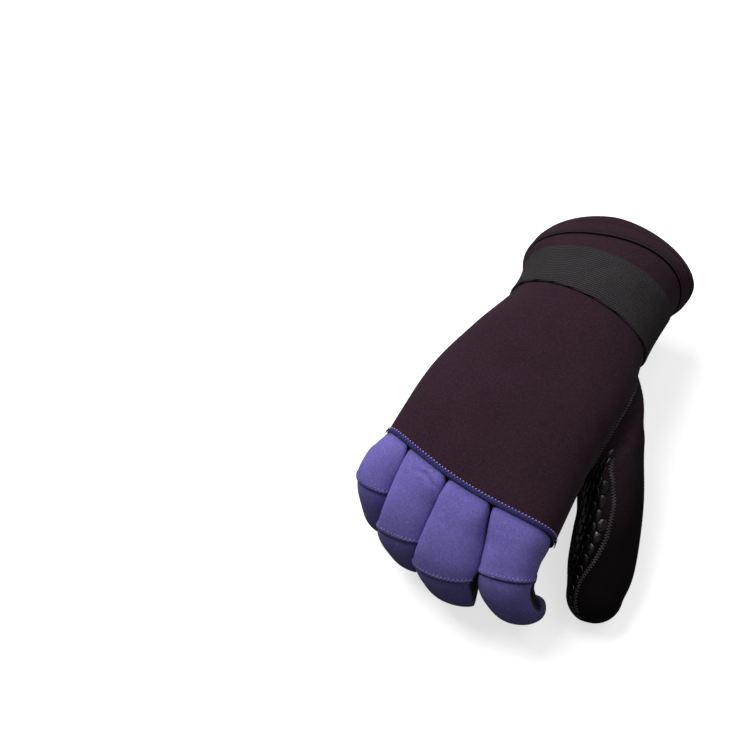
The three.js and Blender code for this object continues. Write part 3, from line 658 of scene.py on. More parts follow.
def unrolled(place, us, vs, middle):
    """A chart of a surface in millimetres: x is the length round from the middle line, y the
    length along it. Gives a function from (x, y) to (u, v), the lengths of the rows, and the
    chart's reach on both sides of each row."""
    u, v = np.meshgrid(us, vs)
    p = place(u, v)
    around = run_lengths(p, 1)
    zero = np.array([np.interp(middle, us, row) for row in around])
    around = around - zero[:, None]
    spine = place(np.full(len(vs), float(middle)), vs)
    along = run_lengths(spine, 0)
    xs = np.linspace(around.min(), around.max(), 400)
    angles = np.array([np.interp(xs, row, us) for row in around])

    def chart(x, y):
        j = np.clip(np.interp(y, along, np.arange(len(vs))), 0, len(vs) - 1.001)
        i = np.clip((x - xs[0]) / (xs[1] - xs[0]), 0, len(xs) - 1.001)
        j0, i0 = j.astype(int), i.astype(int)
        fj, fi = j - j0, i - i0
        low = mix(angles[j0, i0], angles[j0, i0 + 1], fi)
        high = mix(angles[j0 + 1, i0], angles[j0 + 1, i0 + 1], fi)
        return mix(low, high, fj), np.interp(j, np.arange(len(vs)), vs)
    reach = np.stack([around[:, 0], around[:, -1]], -1)
    return chart, along, reach


def hexagons(place, us, vs, middle, inside, pitch=5.9, height=0.55, rest=0.3, margin=2.9):
    """The grip print: rounded hexagons on a lattice of the unrolled surface. Each one is four
    rings of twelve points and a middle, laid on the cloth point by point. inside(u, v, x, y)
    picks them."""
    chart, along, reach = unrolled(place, us, vs, middle)
    step = pitch * np.sqrt(3) / 2
    x_count = int(np.ceil((reach[:, 1].max() - reach[:, 0].min()) / pitch)) + 2
    y_count = int(np.ceil(along[-1] / step)) + 2
    col, row = np.meshgrid(np.arange(-x_count, x_count), np.arange(y_count))
    x = (col + (row % 2) * 0.5) * pitch
    y = row * step + 1.0
    x, y = x.ravel(), y.ravel()
    low = np.interp(y, along, reach[:, 0]) + margin
    high = np.interp(y, along, reach[:, 1]) - margin
    u, v = chart(x, y)
    fits = (x > low) & (x < high) & (y > margin) & (y < along[-1] - margin) & inside(u, v, x, y)
    x, y = x[fits], y[fits]
    corner = np.radians(np.arange(6) * 60 + 30)[:, None] + np.radians([-13, 13])[None, :]
    a = corner.ravel()
    size = (pitch - 0.62) / 2 / np.cos(np.radians(30)) * 0.985
    rings = [(1.0, -0.4), (1.0, 0.35), (0.95, 0.88), (0.86, 1.0)]
    px, py = (np.stack([q[:, None] + wave * size * scale for scale, _ in rings]
                       + [np.repeat(q[:, None], 12, 1)], 1)
              for q, wave in ((x, np.cos(a)), (y, np.sin(a))))
    h = np.array([k for _, k in rings] + [1.02])[None, :, None] * height + rest
    u, v = chart(px, py)
    p = place(u, v) + surface_normal(place, u, v) * h[..., None]
    n = len(x)
    centres = p[:, 4, 0]
    shells = p[:, :4].reshape(-1, 3)
    m, j, i = (q.ravel() for q in np.meshgrid(
        np.arange(n), np.arange(3), np.arange(12), indexing="ij"))
    base, nxt = (m * 4 + j) * 12, (i + 1) % 12
    walls = np.stack([base + i, base + nxt, base + nxt + 12, base + i + 12], -1)
    m, i = (q.ravel() for q in np.meshgrid(np.arange(n), np.arange(12), indexing="ij"))
    tops = np.stack([(m * 4 + 3) * 12 + i, (m * 4 + 3) * 12 + (i + 1) % 12, n * 48 + m], -1)
    floors = (np.arange(n)[:, None] * 48 + np.arange(12)[None, :])[:, ::-1]
    faces = [walls, tops, floors]
    shape = part(np.concatenate([shells, centres]), faces)
    normal = surface_normal(place, *chart(x[:1], y[:1]))[0]
    a0, b0, c0 = (shape["points"][tops[0][k]] for k in range(3))
    if np.cross(b0 - a0, c0 - a0) @ normal < 0:
        shape = part(shape["points"], [f[:, ::-1] for f in faces])
    return shape


def make_piece(name, shape, nodes, material):
    """Put a shape into a mesh in metres, flat where it meets the floor, riding on the glove and
    standing for its nodes."""
    mesh = bpy.data.meshes.new(name)
    corners, sizes = shape["corners"], shape["sizes"]
    points = (shape["points"] - FOOTPRINT_MIDDLE) / 1000
    points[:, 2] = np.maximum(points[:, 2], 0.0)
    mesh.vertices.add(len(points))
    mesh.vertices.foreach_set("co", points.astype(np.float32).ravel())
    mesh.loops.add(len(corners))
    mesh.loops.foreach_set("vertex_index", corners.astype(np.int32))
    mesh.polygons.add(len(sizes))
    starts = np.insert(np.cumsum(sizes)[:-1], 0, 0)
    mesh.polygons.foreach_set("loop_start", starts.astype(np.int32))
    mesh.polygons.foreach_set("use_smooth", np.ones(len(sizes), bool))
    mesh.uv_layers.new(name="Cloth").data.foreach_set("uv", shape["uv"].astype(np.float32).ravel())
    seam = mesh.attributes.new("seam", "FLOAT", "POINT")
    seam.data.foreach_set("value", shape["seam"].astype(np.float32))
    mesh.update(calc_edges=True)
    mesh.validate()
    mesh.materials.append(material)
    piece = bpy.data.objects.new(name, mesh)
    bpy.context.scene.collection.objects.link(piece)
    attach(piece, "root")
    if nodes:
        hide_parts(*nodes)


# Materials
def tone(code):
    """A linear colour from a screen colour."""
    c = np.array([int(code[k:k + 2], 16) for k in (1, 3, 5)]) / 255
    return (*np.where(c <= 0.04045, c / 12.92, ((c + 0.055) / 1.055) ** 2.4), 1.0)


def add_node(tree, kind, sockets=(), **settings):
    """A node with its settings, and its inputs set to values or joined to outputs."""
    node = tree.nodes.new(kind)
    for key, value in settings.items():
        setattr(node, key, value)
    for key, value in dict(sockets).items():
        if isinstance(value, bpy.types.NodeSocket):
            tree.links.new(value, node.inputs[key])
        else:
            node.inputs[key].default_value = value
    return node


def math_of(tree, operation, *values):
    """A Math node's result."""
    return add_node(tree, "ShaderNodeMath", enumerate(values), operation=operation).outputs[0]


def blend(tree, factor, a, b, kind="MIX"):
    """Colour a mixed with colour b, or multiplied by it, as far as factor says."""
    node = add_node(tree, "ShaderNodeMix", data_type="RGBA", blend_type=kind, clamp_factor=True)
    for socket, value in ((node.inputs[0], factor), (node.inputs[6], a), (node.inputs[7], b)):
        if isinstance(value, bpy.types.NodeSocket):
            tree.links.new(value, socket)
        else:
            socket.default_value = value
    return node.outputs[2]


def shaded(tree, colour, shade):
    """A colour times a brightness."""
    grey = add_node(tree, "ShaderNodeCombineColor", {0: shade, 1: shade, 2: shade}).outputs[0]
    return blend(tree, 1.0, colour, grey, "MULTIPLY")


def noise(tree, vector, scale, detail=3.0, roughness=0.55):
    """Noise from 0 to 1, with scale waves to the metre."""
    return add_node(tree, "ShaderNodeTexNoise", {
        "Vector": vector, "Scale": scale, "Detail": detail, "Roughness": roughness,
    }).outputs["Fac"]


def ranged(tree, value, low, high, to_low=0.0, to_high=1.0):
    """A value between low and high moved to lie between to_low and to_high, and kept there."""
    return add_node(tree, "ShaderNodeMapRange", {
        "Value": value, "From Min": low, "From Max": high, "To Min": to_low, "To Max": to_high,
    }).outputs["Result"]


def effect(name, inputs):
    """A node group with named inputs, which puts out a colour, a height and a roughness."""
    tree = bpy.data.node_groups.new(name, "ShaderNodeTree")
    for label, kind, value in inputs:
        socket = tree.interface.new_socket(label, in_out="INPUT", socket_type=kind)
        if value is not None:
            socket.default_value = value
    for label, kind in (("Colour", COLOR), ("Height", FLOAT), ("Roughness", FLOAT)):
        tree.interface.new_socket(label, in_out="OUTPUT", socket_type=kind)
    return tree, tree.nodes.new("NodeGroupInput").outputs, tree.nodes.new("NodeGroupOutput").inputs


FLOAT, COLOR, VECTOR = "NodeSocketFloat", "NodeSocketColor", "NodeSocketVector"


def jersey_knit():
    """Nylon jersey on foam: tiny staggered loops sin(u) sin(v) with painted shade between them,
    mottled by three sizes of noise, with sparse lint, painted shade near the seams, and painted
    shade towards the floor by Low Shade from Shade Top down over Shade Span."""
    tree, given, out = effect("Jersey knit", [
        ("Place", VECTOR, None), ("Cloth", VECTOR, None), ("Colour", COLOR, (0.1, 0.1, 0.1, 1)),
        ("Lint Colour", COLOR, (0.3, 0.3, 0.3, 1)), ("Seam", FLOAT, NO_SEAM),
        ("Loop Size", FLOAT, 0.55), ("Mottle", FLOAT, 0.3), ("Lint", FLOAT, 0.2),
        ("Roughness", FLOAT, 0.85), ("Low Shade", FLOAT, 0.0), ("Shade Top", FLOAT, 0.052),
        ("Shade Span", FLOAT, 0.036),
    ])
    times, plus = partial(math_of, tree, "MULTIPLY"), partial(math_of, tree, "ADD")
    uv = add_node(tree, "ShaderNodeSeparateXYZ", {0: given["Cloth"]}).outputs
    turn = math_of(tree, "DIVIDE", 6.283, given["Loop Size"])
    loop_u, loop_v = (math_of(tree, "SINE", times(uv[k], turn)) for k in (0, 1))
    loops = math_of(tree, "MULTIPLY_ADD", times(loop_u, loop_v), 0.5, 0.5)
    fine = noise(tree, given["Place"], 1900.0, 2.0, 0.7)
    grain = noise(tree, given["Place"], 900.0, 3.0, 0.65)
    cloud = noise(tree, given["Place"], 38.0, 3.0)
    # Painted shade: darker between the knit loops
    shade = math_of(tree, "MULTIPLY_ADD", loops, 0.16, 0.92)
    for spots, reach in ((grain, 0.42), (cloud, 0.14), (fine, 0.45)):
        shade = plus(shade, times(ranged(tree, spots, 0.3, 0.7, -reach, reach), given["Mottle"]))
    # Painted shade: darker towards the floor, by Low Shade from Shade Top down over Shade Span
    z = add_node(tree, "ShaderNodeSeparateXYZ", {0: given["Place"]}).outputs[2]
    below = math_of(tree, "SUBTRACT", given["Shade Top"], z)
    depth = ranged(tree, math_of(tree, "DIVIDE", below, given["Shade Span"]), 0.0, 1.0)
    low = times(depth, given["Low Shade"])
    # Painted shade: darker within about 3 mm of a seam, where the sewn edges roll down
    near = ranged(tree, given["Seam"], 0.3, 3.2, 0.62, 1.0)
    shade = times(shade, times(near, math_of(tree, "SUBTRACT", 1.0, low)))
    colour = shaded(tree, given["Colour"], shade)
    specks = ranged(tree, noise(tree, given["Place"], 620.0, 1.0), 0.66, 0.76)
    colour = blend(tree, times(specks, given["Lint"]), colour, given["Lint Colour"])
    tree.links.new(colour, out["Colour"])
    height = plus(times(loops, 0.35), times(grain, 0.8))
    tree.links.new(plus(height, times(cloud, 0.5)), out["Height"])
    rough = plus(given["Roughness"], ranged(tree, grain, 0.3, 0.7, -0.06, 0.06))
    tree.links.new(rough, out["Roughness"])
    return tree


def ribbed_weave():
    """Elastic webbing: ribs along its length, |sin| across it, crossed by short weft steps, with
    fuzz, painted shade in the grooves between the ribs and painted shade at its edges."""
    tree, given, out = effect("Ribbed weave", [
        ("Place", VECTOR, None), ("Cloth", VECTOR, None), ("Colour", COLOR, (0.05, 0.05, 0.05, 1)),
        ("Groove Colour", COLOR, (0.01, 0.01, 0.01, 1)), ("Rib Pitch", FLOAT, 1.1),
        ("Seam", FLOAT, NO_SEAM),
    ])
    times, plus = partial(math_of, tree, "MULTIPLY"), partial(math_of, tree, "ADD")
    uv = add_node(tree, "ShaderNodeSeparateXYZ", {0: given["Cloth"]}).outputs
    turn = math_of(tree, "DIVIDE", 3.1416, given["Rib Pitch"])
    rib = math_of(tree, "ABSOLUTE", math_of(tree, "SINE", times(uv[1], turn)))
    count = math_of(tree, "FLOOR", math_of(tree, "DIVIDE", uv[1], given["Rib Pitch"]))
    steps = math_of(tree, "MULTIPLY_ADD", uv[0], 4.2, times(count, 1.7))
    weft = math_of(tree, "ABSOLUTE", math_of(tree, "SINE", steps))
    fuzz = noise(tree, given["Place"], 900.0, 3.0, 0.7)
    cloud = noise(tree, given["Place"], 60.0, 2.0)
    # Painted shade: the grooves between the ribs take the dark Groove Shade colour
    weave = times(ranged(tree, rib, 0.05, 0.8), math_of(tree, "MULTIPLY_ADD", weft, 0.3, 0.7))
    mixed = plus(weave, ranged(tree, fuzz, 0.3, 0.7, -0.18, 0.18))
    colour = blend(tree, mixed, given["Groove Colour"], given["Colour"])
    # Random tone, times painted shade within 1 mm of the edges, where they turn down
    shade = times(ranged(tree, cloud, 0.3, 0.7, 0.85, 1.12),
                  ranged(tree, given["Seam"], 0.0, 1.0, 0.7, 1.0))
    tree.links.new(shaded(tree, colour, shade), out["Colour"])
    tree.links.new(plus(weave, times(fuzz, 0.35)), out["Height"])
    tree.links.new(ranged(tree, fuzz, 0.3, 0.7, 0.68, 0.86), out["Roughness"])
    return tree


def moulded_skin():
    """A printed or twisted skin: broad and fine noise that shades the colour and dents the
    surface."""
    tree, given, out = effect("Moulded skin", [
        ("Place", VECTOR, None), ("Colour", COLOR, (0.02, 0.02, 0.02, 1)),
        ("Worn Colour", COLOR, (0.1, 0.1, 0.1, 1)), ("Scale", FLOAT, 300.0),
        ("Wear", FLOAT, 0.3), ("Roughness", FLOAT, 0.3),
    ])
    times, plus = partial(math_of, tree, "MULTIPLY"), partial(math_of, tree, "ADD")
    broad = noise(tree, given["Place"], 90.0, 3.0)
    fine = noise(tree, given["Place"], given["Scale"], 4.0, 0.6)
    worn = times(ranged(tree, broad, 0.35, 0.7), ranged(tree, fine, 0.35, 0.65))
    colour = blend(tree, times(worn, given["Wear"]), given["Colour"], given["Worn Colour"])
    tree.links.new(colour, out["Colour"])
    tree.links.new(plus(fine, times(broad, 1.5)), out["Height"])
    rough = plus(given["Roughness"], ranged(tree, fine, 0.3, 0.7, -0.08, 0.12))
    tree.links.new(rough, out["Roughness"])
    return tree


JERSEY, WEAVE, SKIN = jersey_knit(), ribbed_weave(), moulded_skin()


def finished(name, group, values, bump=0.3, depth=0.0004, **shader_values):
    """A material whose group colours, roughens and dents the shader, on the piece's own
    coordinates."""
    material = bpy.data.materials.new(name)
    material.use_nodes = True
    tree = material.node_tree
    shader = tree.nodes["Principled BSDF"]
    coordinates = add_node(tree, "ShaderNodeTexCoord")
    node = add_node(tree, "ShaderNodeGroup", node_tree=group)
    tree.links.new(coordinates.outputs["Object"], node.inputs["Place"])
    if "Cloth" in node.inputs:
        cloth = add_node(tree, "ShaderNodeUVMap", uv_map="Cloth")
        tree.links.new(cloth.outputs["UV"], node.inputs["Cloth"])
        seam = add_node(tree, "ShaderNodeAttribute", attribute_name="seam")
        tree.links.new(seam.outputs["Fac"], node.inputs["Seam"])
    for key, value in values.items():
        node.inputs[key].default_value = tone(value) if isinstance(value, str) else value
    tree.links.new(node.outputs["Colour"], shader.inputs["Base Color"])
    tree.links.new(node.outputs["Roughness"], shader.inputs["Roughness"])
    dents = add_node(tree, "ShaderNodeBump", {
        "Height": node.outputs["Height"], "Strength": bump, "Distance": depth})
    tree.links.new(dents.outputs["Normal"], shader.inputs["Normal"])
    for key, value in shader_values.items():
        shader.inputs[key.replace("_", " ")].default_value = value
    return material


def thread(name, colour, worn, wear=0.8, roughness=0.6, **shader_values):
    """Spun thread: the moulded skin at a fine scale."""
    return finished(name, SKIN, {
        "Colour": colour, "Worn Colour": worn, "Scale": 1500.0, "Wear": wear,
        "Roughness": roughness,
    }, bump=0.3, **shader_values)


# Low Shade below is painted shade, darker towards the floor: low parts of the back and cuff, and
# the finger tips
dark_jersey = finished("dark_jersey", JERSEY, {
    "Colour": "#2f1c28", "Lint Colour": "#4a3844", "Mottle": 0.8, "Lint": 0.16,
    "Roughness": 0.88, "Low Shade": 0.35,
}, Sheen_Weight=0.05, Sheen_Roughness=0.5, Specular_IOR_Level=0.1)
# The thumb's strong Low Shade over a short span paints its shaft and tip in much deeper shade than
# its base
thumb_jersey = finished("thumb_jersey", JERSEY, {
    "Colour": "#2a1d24", "Lint Colour": "#3a3036", "Mottle": 0.8, "Lint": 0.12,
    "Roughness": 0.88, "Low Shade": 0.85, "Shade Top": 0.049, "Shade Span": 0.016,
}, Sheen_Weight=0.02, Sheen_Roughness=0.5, Specular_IOR_Level=0.08)
violet_jersey = finished("violet_jersey", JERSEY, {
    "Colour": "#7169b5", "Lint Colour": "#9d97d4", "Mottle": 0.42, "Lint": 0.3,
    "Roughness": 0.86, "Low Shade": 0.6,
}, Sheen_Weight=0.08, Sheen_Roughness=0.5, Specular_IOR_Level=0.12)
violet_binding = finished("violet_binding", JERSEY, {
    "Colour": "#463d8e", "Lint Colour": "#6a63ad", "Mottle": 0.5, "Lint": 0.3,
    "Roughness": 0.86, "Loop Size": 0.7,
}, bump=0.5, Sheen_Weight=0.1, Specular_IOR_Level=0.25)
edge_jersey = finished("edge_jersey", JERSEY, {
    "Colour": "#322a2e", "Lint Colour": "#5a5055", "Mottle": 0.5, "Lint": 0.3, "Roughness": 0.86,
}, bump=0.4, Sheen_Weight=0.05, Specular_IOR_Level=0.1)
# A near-black strip that paints the shade in the hem's seam groove
groove_shade = finished("groove_shade", JERSEY, {
    "Colour": "#050405", "Lint Colour": "#151214", "Mottle": 0.5, "Lint": 0.1, "Roughness": 0.95,
}, Specular_IOR_Level=0.02)
grip_cloth = finished("grip_cloth", JERSEY, {
    "Colour": "#151114", "Lint Colour": "#3c353a", "Mottle": 0.4, "Lint": 0.15, "Roughness": 0.8,
}, Sheen_Weight=0.05, Specular_IOR_Level=0.1)
grip_print = finished("grip_print", SKIN, {
    "Colour": "#070607", "Worn Colour": "#151314", "Scale": 700.0, "Wear": 0.4, "Roughness": 0.2,
}, bump=0.2, depth=0.0003, Specular_IOR_Level=0.5)
# The dark Groove Shade below is painted shade in the grooves between the ribs
strap_webbing = finished("strap_webbing", WEAVE, {
    "Colour": "#403c3f", "Groove Colour": "#0e0c0e", "Rib Pitch": 1.35,
}, bump=0.8, depth=0.0006, Specular_IOR_Level=0.15)
hook_tape = finished("hook_tape", WEAVE, {
    "Colour": "#2b2b2d", "Groove Colour": "#101011", "Rib Pitch": 1.8,
}, bump=0.7, depth=0.0006, Specular_IOR_Level=0.4)
hook_plastic = finished("hook_plastic", SKIN, {
    "Colour": "#1a1a1b", "Worn Colour": "#55555a", "Scale": 900.0, "Wear": 0.5, "Roughness": 0.4,
}, bump=0.2, Specular_IOR_Level=0.5)
pale_violet_thread = thread("pale_violet_thread", "#a7a1da", "#d6d3f2", Sheen_Weight=0.1)
violet_thread = thread("violet_thread", "#7c75b6", "#b1acdc", Sheen_Weight=0.1)
# Thread at the knuckle seam; at the finger bends the same near-black thread paints the shadow under
# the overhanging edge
deep_violet_thread_and_shade = thread("deep_violet_thread_and_shade", "#15103c", "#2a2463")
grey_thread = thread("grey_thread", "#3a353a", "#7a757a", roughness=0.55)
black_thread = thread("black_thread", "#151316", "#403a40", wear=0.7, roughness=0.5)


def pale_floor():
    """A pale floor that glows a little to the camera, so that shadows on it stay faint, and throws
    little light back up at the glove."""
    material = finished("studio_floor", SKIN, {
        "Colour": "#e6e6e6", "Worn Colour": "#e2e2e2", "Scale": 40.0, "Wear": 0.3,
        "Roughness": 0.85,
    }, bump=0.02, Specular_IOR_Level=0.1)
    tree = material.node_tree
    shader = tree.nodes["Principled BSDF"]
    shader.inputs["Emission Color"].default_value = (1, 1, 1, 1)
    shader.inputs["Emission Strength"].default_value = 0.66
    dim = add_node(tree, "ShaderNodeBsdfDiffuse", {"Color": (0.2, 0.2, 0.2, 1)})
    path = add_node(tree, "ShaderNodeLightPath")
    seen = add_node(tree, "ShaderNodeMixShader", {0: path.outputs["Is Camera Ray"]})
    tree.links.new(dim.outputs[0], seen.inputs[1])
    tree.links.new(shader.outputs[0], seen.inputs[2])
    tree.links.new(seen.outputs[0], tree.nodes["Material Output"].inputs["Surface"])
    return material


# Back of the hand and cuff
hand_rows = np.concatenate([
    spaced(HEM_SEAM, THUMB_FROM, 62, 0.5)[:-1],
    mix(THUMB_FROM, THUMB_TO, (1 - np.cos(np.linspace(0, np.pi, 73))) / 2)[:-1],
    spaced(THUMB_TO, KNUCKLES, 24, 0.5),
])
make_piece("back_panel_cloth", sheet(
    lambda u, v: hand(mix(radial_edge(v, THUMB_BACK), ULNAR_SEAM, u), v),
    spaced(0, 1, 120), hand_rows, puff=0.4, relief=folded,
), ["back_panel"], dark_jersey)

# Palm and the fronts of the fingers
palm_parts = [sheet(
    lambda u, v: hand(mix(ULNAR_SEAM - 360, radial_edge(v, -THUMB_PALM), u), v),
    spaced(0, 1, 110), hand_rows, sewn=(1, 1, 1, 0), puff=0.3, relief=folded,
)]
for name, finger in fingers.items():
    palm_parts.append(sheet(
        finger_at(name), spaced(FRONT_FROM, FRONT_TO, 40),
        np.concatenate([spaced(PAD_SEAM, from_tip(finger, 0), 76),
                        from_tip(finger, np.array([-1, -2]))]),
        sewn=(1, 1, 1, 0), puff=0.2,
    ))
make_piece("palm_cloth", together(palm_parts), ["palm_panel"], grip_cloth)

# The grip print on the palm and on the fronts of the fingers
print_parts = [hexagons(
    hand, np.linspace(-180, -18, 200), np.linspace(2.55, 5.97, 160), -92,
    lambda u, v, x, y: ((u < radial_edge(v, -THUMB_PALM) - 4.5) & (v > 3.0 - 0.012 * x)
                        & (u > -172)),
)]
for name, finger in fingers.items():
    print_parts.append(hexagons(
        finger_at(name), np.linspace(FRONT_FROM, FRONT_TO, 90),
        np.linspace(PAD_SEAM + 1, from_tip(finger, 1), 120), 270,
        lambda u, v, x, y: np.ones(x.shape, bool), margin=3.1, rest=0.2,
    ))
make_piece("grip_print_palm", together(print_parts), [], grip_print)

# Backs and tips of the fingers
def flat_chart(r, degrees):
    """Distances and angles round a finger's end as x and y on a flat chart."""
    return np.stack([r * np.cos(np.radians(degrees)), r * np.sin(np.radians(degrees))], -1)


def over_the_bend(p, u, v, run):
    """The finger's back swells by 1.5 e^(-run / 2.4) next to its bend, over its folds."""
    return folded(p) + 1.5 * np.exp(-run / 2.4)


for name, finger in fingers.items():
    bend = panel_seam(finger)
    make_piece(f"finger_back_{name}_cloth", sheet(
        finger_at(name), spaced(SIDE_SEAM, FRONT_FROM, 64),
        spaced(bend, from_tip(finger, 0), 50), puff=0.5, relief=over_the_bend,
    ), [f"finger_back_{name}"], violet_jersey)
    down = np.linspace(bend, PAD_SEAM, 31)[1:]
    edge = np.concatenate([
        flat_chart(bend, np.linspace(SIDE_SEAM, FRONT_FROM, 61)),
        flat_chart(down, FRONT_FROM),
        flat_chart(PAD_SEAM, np.linspace(FRONT_FROM, FRONT_TO, 31)[1:]),
        flat_chart(down[-2::-1], FRONT_TO),
        flat_chart(np.array([bend]), FRONT_TO),
    ])

    def tip_at(u, v, edge=edge, name=name):
        """Loops that shrink from the panel's edge to the middle of the tip, on the flat chart."""
        k = np.arange(len(edge))
        x = mix(np.interp(u, k, edge[:, 0]), 0, v)
        y = mix(np.interp(u, k, edge[:, 1]), TIP_MIDDLE, v)
        return finger_at(name)(np.degrees(np.arctan2(y, x)), np.hypot(x, y))
    make_piece(f"fingertip_{name}_cloth", sheet(
        tip_at, np.arange(len(edge)),
        np.concatenate([np.linspace(0, 0.12, 9)[:-1], np.linspace(0.12, 1, 30)]),
        closed=True, pole=True, puff=0.35, roll=(2.0, 1.3), relief=folded,
    ), [f"fingertip_{name}"], violet_jersey)

# Cuff hem, folded back on itself
def hem_faces(u, v, run):
    """Both faces are rounded off at the hem's open edge. The outer one turns down at its seam, and
    a low ridge and a furrow run round it."""
    fold = HEM_ROUND * (1 - np.sqrt(1 - np.maximum(0, 1 - run / HEM_ROUND) ** 2))
    ridge = 0.3 * np.exp(-((v - 0.33) / 0.05) ** 2)
    furrow = 0.35 * np.exp(-((v - 0.42) / 0.035) ** 2)
    outer = HEM_FACE - fold + rolled(run[-1:] - run, 1.2, 1.6) - furrow + ridge
    return outer, HEM_INSIDE + fold


make_piece("cuff_hem_cloth", sheet(
    hand, np.linspace(0, 360, 301),
    np.concatenate([np.linspace(0, 0.2, 17)[:-1], spaced(0.2, 1, 22, 0.4)]),
    closed=True, faces=hem_faces,
), ["cuff_hem"], dark_jersey)


# Wrist strap
def strap_angle(distance):
    """The angle on the strap's middle line at a distance round from the little-finger side."""
    angles = np.linspace(ULNAR_SEAM, ULNAR_SEAM + 180, 721)
    p = hand(angles, np.full(angles.shape, (STRAP_UPPER + STRAP_LOWER) / 2))
    return np.interp(distance, run_lengths(p, 0), angles)


def tab_rest(degrees):
    """The tab's height over the cuff: it rises from beside the strap to over the hooks."""
    return mix(TAB_REST, TAB_OVER, ease((degrees - STRAP_END) / (WEB_START - STRAP_END)))


def turned_down(run, radius, drop):
    """Both long edges of the strap turn down, run being the distance across it."""
    return rolled(np.minimum(run, run[-1:] - run), radius, drop)


STRAP_END, TAB_END, WEB_START, HOOK_END = (strap_angle(d) for d in (8, 27, 18, 50))
strap_rows = spaced(STRAP_UPPER, STRAP_LOWER, 44)
make_piece("wrist_strap_webbing", sheet(
    strap, np.linspace(WEB_START - 360, STRAP_END, 320), strap_rows,
    faces=lambda u, v, run: (STRAP_FACE + turned_down(run, 0.9, 0.7), STRAP_REST),
), ["wrist_strap"], strap_webbing)
make_piece("hook_patch_tape", sheet(
    strap, np.linspace(WEB_START, HOOK_END, 50), strap_rows,
    faces=lambda u, v, run: (HOOK_FACE + turned_down(run, 0.8, 0.6), HOOK_REST), outward=1,
), ["hook_patch"], hook_tape)
make_piece("strap_tab_webbing", sheet(
    strap, spaced(STRAP_END, TAB_END, 60), strap_rows,
    faces=lambda u, v, run: (tab_rest(u) + TAB_THICK + turned_down(run, 1.2, 1.0), tab_rest(u)),
    outward=1,
), ["strap_tab"], strap_webbing)
def tab_face(degrees, place):
    """The tab's outer face: the strap's surface raised by the tab's rest and thickness."""
    normal = surface_normal(strap, degrees, place)
    return strap(degrees, place) + normal * (tab_rest(degrees) + TAB_THICK)[..., None]


SURFACE_STEPS[tab_face] = (0.05, 0.002, 1)
hook_rows = []
for angle in np.linspace(TAB_END + 2.0, HOOK_END - 3.5, 17):
    row = seam_line(strap, angle, np.linspace(STRAP_UPPER + 0.04, STRAP_LOWER - 0.04, 60))
    hook_rows.append(zigzag(row, 1.3, 0.8, 0.13, 3.5, 0.5))
make_piece("hook_rows", together(hook_rows), [], hook_plastic)
hook_edge = seam_line(
    strap, HOOK_END - 1.2, np.linspace(STRAP_UPPER + 0.03, STRAP_LOWER - 0.03, 60))
tab_stitches = [zigzag(hook_edge, 2.2, 2.2, 0.22, 3.5, 0.4)]
for place in (STRAP_UPPER + 0.06, STRAP_LOWER - 0.06):
    line = seam_line(tab_face, np.linspace(STRAP_END + 1.0, TAB_END - 1.0, 60), place)
    tab_stitches.append(running(line, 2.4, 1.6, 0.2, 0.15))
make_piece("closure_stitches", together(tab_stitches), [], grey_thread)

# Thumb, with its print on the side of the index finger and below
make_piece("thumb_cloth", sheet(
    thumb, np.linspace(0, 360, 161),
    np.concatenate([spaced(0, 1, 50, 0.5)[:-1], np.linspace(1, 4, 46)[:-1],
                    np.linspace(4, 5, 16)]),
    closed=True, pole=True, puff=0.3, relief=folded,
), ["thumb"], thumb_jersey)
THUMB_SEAM_FAR = np.array([0.9, 1.32, 1.99, 2.53, 3.11, 3.76, 4.32, 4.6])
THUMB_SEAM_DEGREES = np.array([78.0, 84.0, 88.0, 83.0, 67.0, 47.0, 37.0, 34.0])


def thumb_inner(far):
    """The angle of the seam along the thumb's inner side, straight between its points."""
    return np.interp(far, THUMB_SEAM_FAR, THUMB_SEAM_DEGREES)


make_piece("grip_print_thumb", hexagons(
    thumb, np.linspace(-150, 95, 200), np.linspace(0.35, 4.75, 160), -30,
    lambda u, v, x, y: (u < thumb_inner(v) - 13) & (u > -128 + 9 * v), margin=1.0,
), [], grip_print)

# Seams and stitches
knuckle_line = seam_line(hand, np.linspace(THUMB_SIDE, ULNAR_SEAM, 400), KNUCKLES - 1e-3)
make_piece("knuckle_binding", welt(knuckle_line, 1.4, 0.3, 0.6, off=-1.15, waves=0.12),
           [], violet_binding)
make_piece("knuckle_stitches", running(knuckle_line, 1.9, 0.9, 0.25, 0.85, off=-2.3, ends=(5, 4)),
           [], pale_violet_thread)
make_piece("knuckle_overcast", together([
    zigzag(knuckle_line, 1.9, 1.5, 0.27, 0.9, off=-0.3, ends=(5, 4)),
    running(knuckle_line, 1.9, 0.9, 0.24, 0.8, off=-1.35, ends=(5, 4)),
]), [], deep_violet_thread_and_shade)

bend_stitches, bend_shade_threads, side_stitches = [], [], []
for name, finger in fingers.items():
    place, bend = finger_at(name), panel_seam(finger)
    span = np.linspace(SIDE_SEAM, FRONT_FROM, 200)
    line = seam_line(place, span, bend + 1.0)
    bend_stitches.append(zigzag(line, 2.1, 1.9, 0.19, 0.95, 0.25))
    # Painted shadow: a near-black thread zigzag just below each bend's overhanging edge
    under = seam_line(place, span, bend - 1.1)
    bend_shade_threads.append(zigzag(under, 2.1, 1.5, 0.32, -0.25, 0.2))
    rows = np.linspace(PAD_SEAM, from_tip(finger, 2), 200)
    lines = [seam_line(place, angle, rows) for angle in (FRONT_FROM, FRONT_TO)]
    lines.append(seam_line(place, np.linspace(FRONT_FROM, FRONT_TO, 200), PAD_SEAM))
    side_stitches.extend(zigzag(line, 2.0, 3.0, 0.22, 0.2) for line in lines)
make_piece("finger_bend_stitches", together(bend_stitches), [], violet_thread)
# The painted shadow lines under the finger bends
make_piece("finger_bend_shade", together(bend_shade_threads),
           [], deep_violet_thread_and_shade)
make_piece("finger_side_stitches", together(side_stitches), [], black_thread)

